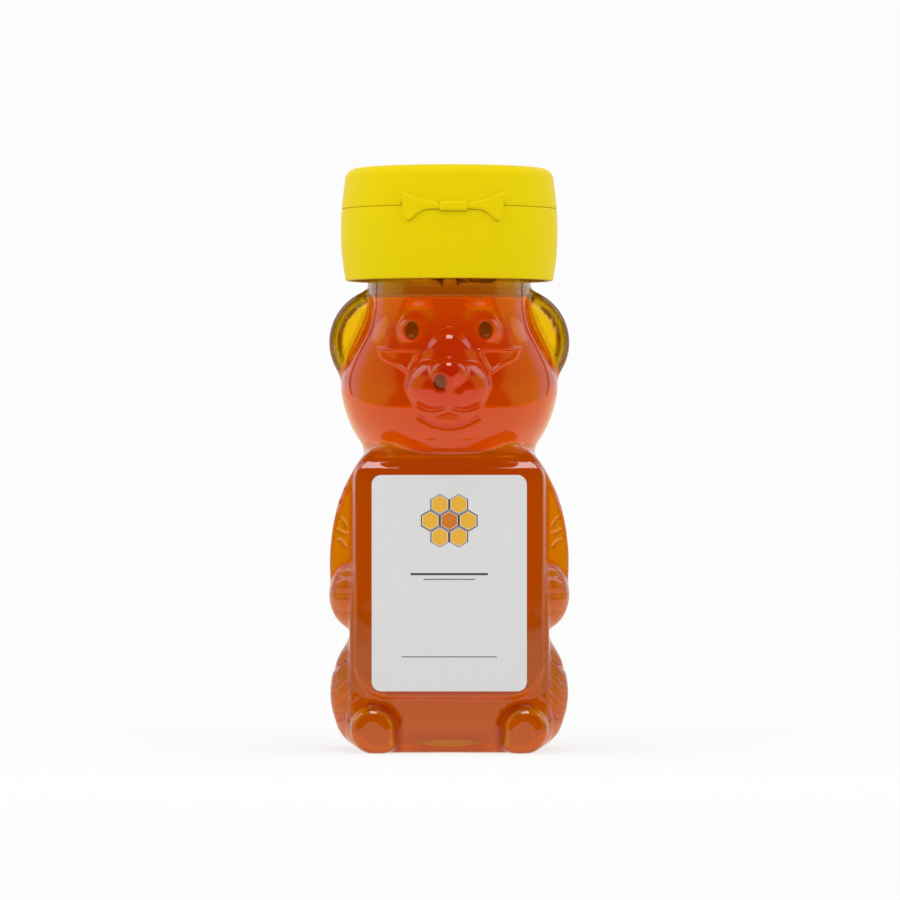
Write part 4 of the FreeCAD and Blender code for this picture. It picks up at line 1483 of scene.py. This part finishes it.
class BEAR_OT_label(bpy.types.Operator):
    """Lay the label on the front panel"""
    bl_idname = "bear.label"
    bl_label = "Label"

    def execute(self, context):
        low, high = (Vector(corner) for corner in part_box("front_label"))
        middle = (low + high) / 2
        size = high - low
        bpy.ops.object.select_all(action="DESELECT")
        bpy.ops.mesh.primitive_plane_add(
            size=1, location=(middle.x, high.y + LABEL_SUNK * MM, middle.z), rotation=(math.pi / 2, 0, 0))
        label = bpy.context.object
        label.name = "label"
        label.scale = (size.x, size.z, 1)
        bpy.ops.object.transform_apply(location=True, rotation=True, scale=True)
        edit_all(label)
        bpy.ops.mesh.bevel(offset=LABEL_CORNER * MM, segments=8, affect="VERTICES")
        bpy.ops.mesh.select_all(action="SELECT")
        bpy.ops.mesh.extrude_region_move(TRANSFORM_OT_translate={"value": (0, -size.y - LABEL_SUNK * MM, 0)})
        bpy.ops.object.mode_set(mode="OBJECT")
        face_outward(label)
        dress(label, label_paper(context.scene.honey_bear))
        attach(label, "bottle")
        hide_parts("front_label")
        return {"FINISHED"}


class BEAR_OT_cap(bpy.types.Operator):
    """Turn the cap's base with its spout, thread and the pocket for the bow"""
    bl_idname = "bear.cap"
    bl_label = "Cap base"

    def execute(self, context):
        base = turned("cap", rounded(BASE_CORNERS, True), 192)
        start = SOCKET_THREAD_START
        ridge_low = THREAD_START - THREAD_PITCH / 2 + start * THREAD_PITCH
        ridge = thread_ridge("socket_thread", SOCKET_RADIUS, False, ridge_low, start, THREAD_TURNS - start)
        cut(base, ridge, "UNION")
        for tool in (bow_pocket(), knot_pocket(), hinge_flat()):
            cut(base, tool, "DIFFERENCE")
        dress(base, yellow_plastic(context.scene.honey_bear))
        smooth_by_angle(base, 32)
        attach(base, "cap")
        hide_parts("cap_base")
        return {"FINISHED"}


class BEAR_OT_lid(bpy.types.Operator):
    """Turn the lid with its plug, and put the bow on its front edge"""
    bl_idname = "bear.lid"
    bl_label = "Flip lid"

    def execute(self, context):
        lid = turned("lid", rounded(LID_CORNERS, False), 192)
        for tool in (bow_notch(1), bow_notch(-1), hinge_flat()):
            cut(lid, tool, "DIFFERENCE")
        for tool in (add_bow(), add_knot()):
            cut(lid, tool, "UNION")
        dress(lid, bpy.data.materials["yellow plastic"])
        smooth_by_angle(lid, 32)
        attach(lid, "lid")
        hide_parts("flip_lid")
        return {"FINISHED"}


class BEAR_OT_hinge(bpy.types.Operator):
    """Make the thin web that bends between the cap and the lid"""
    bl_idname = "bear.hinge"
    bl_label = "Hinge web"

    def execute(self, context):
        web = hinge_web("hinge")
        dress(web, bpy.data.materials["yellow plastic"])
        smooth_by_angle(web, 40)
        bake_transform(web)
        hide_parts("living_hinge")
        return {"FINISHED"}


class BEAR_OT_liner(bpy.types.Operator):
    """Give the sealing ring under the cap its foam"""
    bl_idname = "bear.liner"
    bl_label = "Liner"

    def execute(self, context):
        dress(bpy.data.objects[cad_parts["seal_liner"].name], liner_foam())
        return {"FINISHED"}


class BEAR_OT_stage(bpy.types.Operator):
    """Set the floor, the light and the camera"""
    bl_idname = "bear.stage"
    bl_label = "Stage"

    def execute(self, context):
        bpy.ops.object.select_all(action="DESELECT")
        bpy.ops.mesh.primitive_plane_add(size=200.0)
        floor = bpy.context.object
        floor.name = "floor"
        dress(floor, floor_white())
        studio_world(context.scene)
        for lamp in LAMPS:
            add_lamp(*lamp)
        view = bpy.data.cameras.new("camera")
        view.angle = CAMERA_ANGLE
        camera = bpy.data.objects.new("camera", view)
        context.collection.objects.link(camera)
        camera.location = CAMERA_PLACE
        camera.rotation_euler = (math.pi / 2, 0, 0)
        context.scene.camera = camera
        context.scene.view_settings.view_transform = "Standard"
        return {"FINISHED"}


class BEAR_PT_panel(bpy.types.Panel):
    """Lists the steps and their settings"""
    bl_idname = "BEAR_PT_panel"
    bl_label = "Honey Bear"
    bl_space_type = "VIEW_3D"
    bl_region_type = "UI"
    bl_category = "Honey Bear"

    def draw(self, context):
        for name in BearSettings.__annotations__:
            self.layout.prop(context.scene.honey_bear, name)
        for step_class in STEPS:
            self.layout.operator(step_class.bl_idname)


STEPS = (
    BEAR_OT_bottle, BEAR_OT_honey, BEAR_OT_label, BEAR_OT_cap, BEAR_OT_lid, BEAR_OT_hinge, BEAR_OT_liner,
    BEAR_OT_stage,
)
CLASSES = (BearSettings, *STEPS, BEAR_PT_panel)


def register():
    for kind in CLASSES:
        bpy.utils.register_class(kind)
    bpy.types.Scene.honey_bear = bpy.props.PointerProperty(type=BearSettings)


def unregister():
    del bpy.types.Scene.honey_bear
    for kind in reversed(CLASSES):
        bpy.utils.unregister_class(kind)


def main():
    register()
    bpy.ops.bear.bottle()
    bpy.ops.bear.honey()
    bpy.ops.bear.label()
    bpy.ops.bear.cap()
    bpy.ops.bear.lid()
    bpy.ops.bear.hinge()
    bpy.ops.bear.liner()
    bpy.ops.bear.stage()


if __name__ == "__main__":
    main()
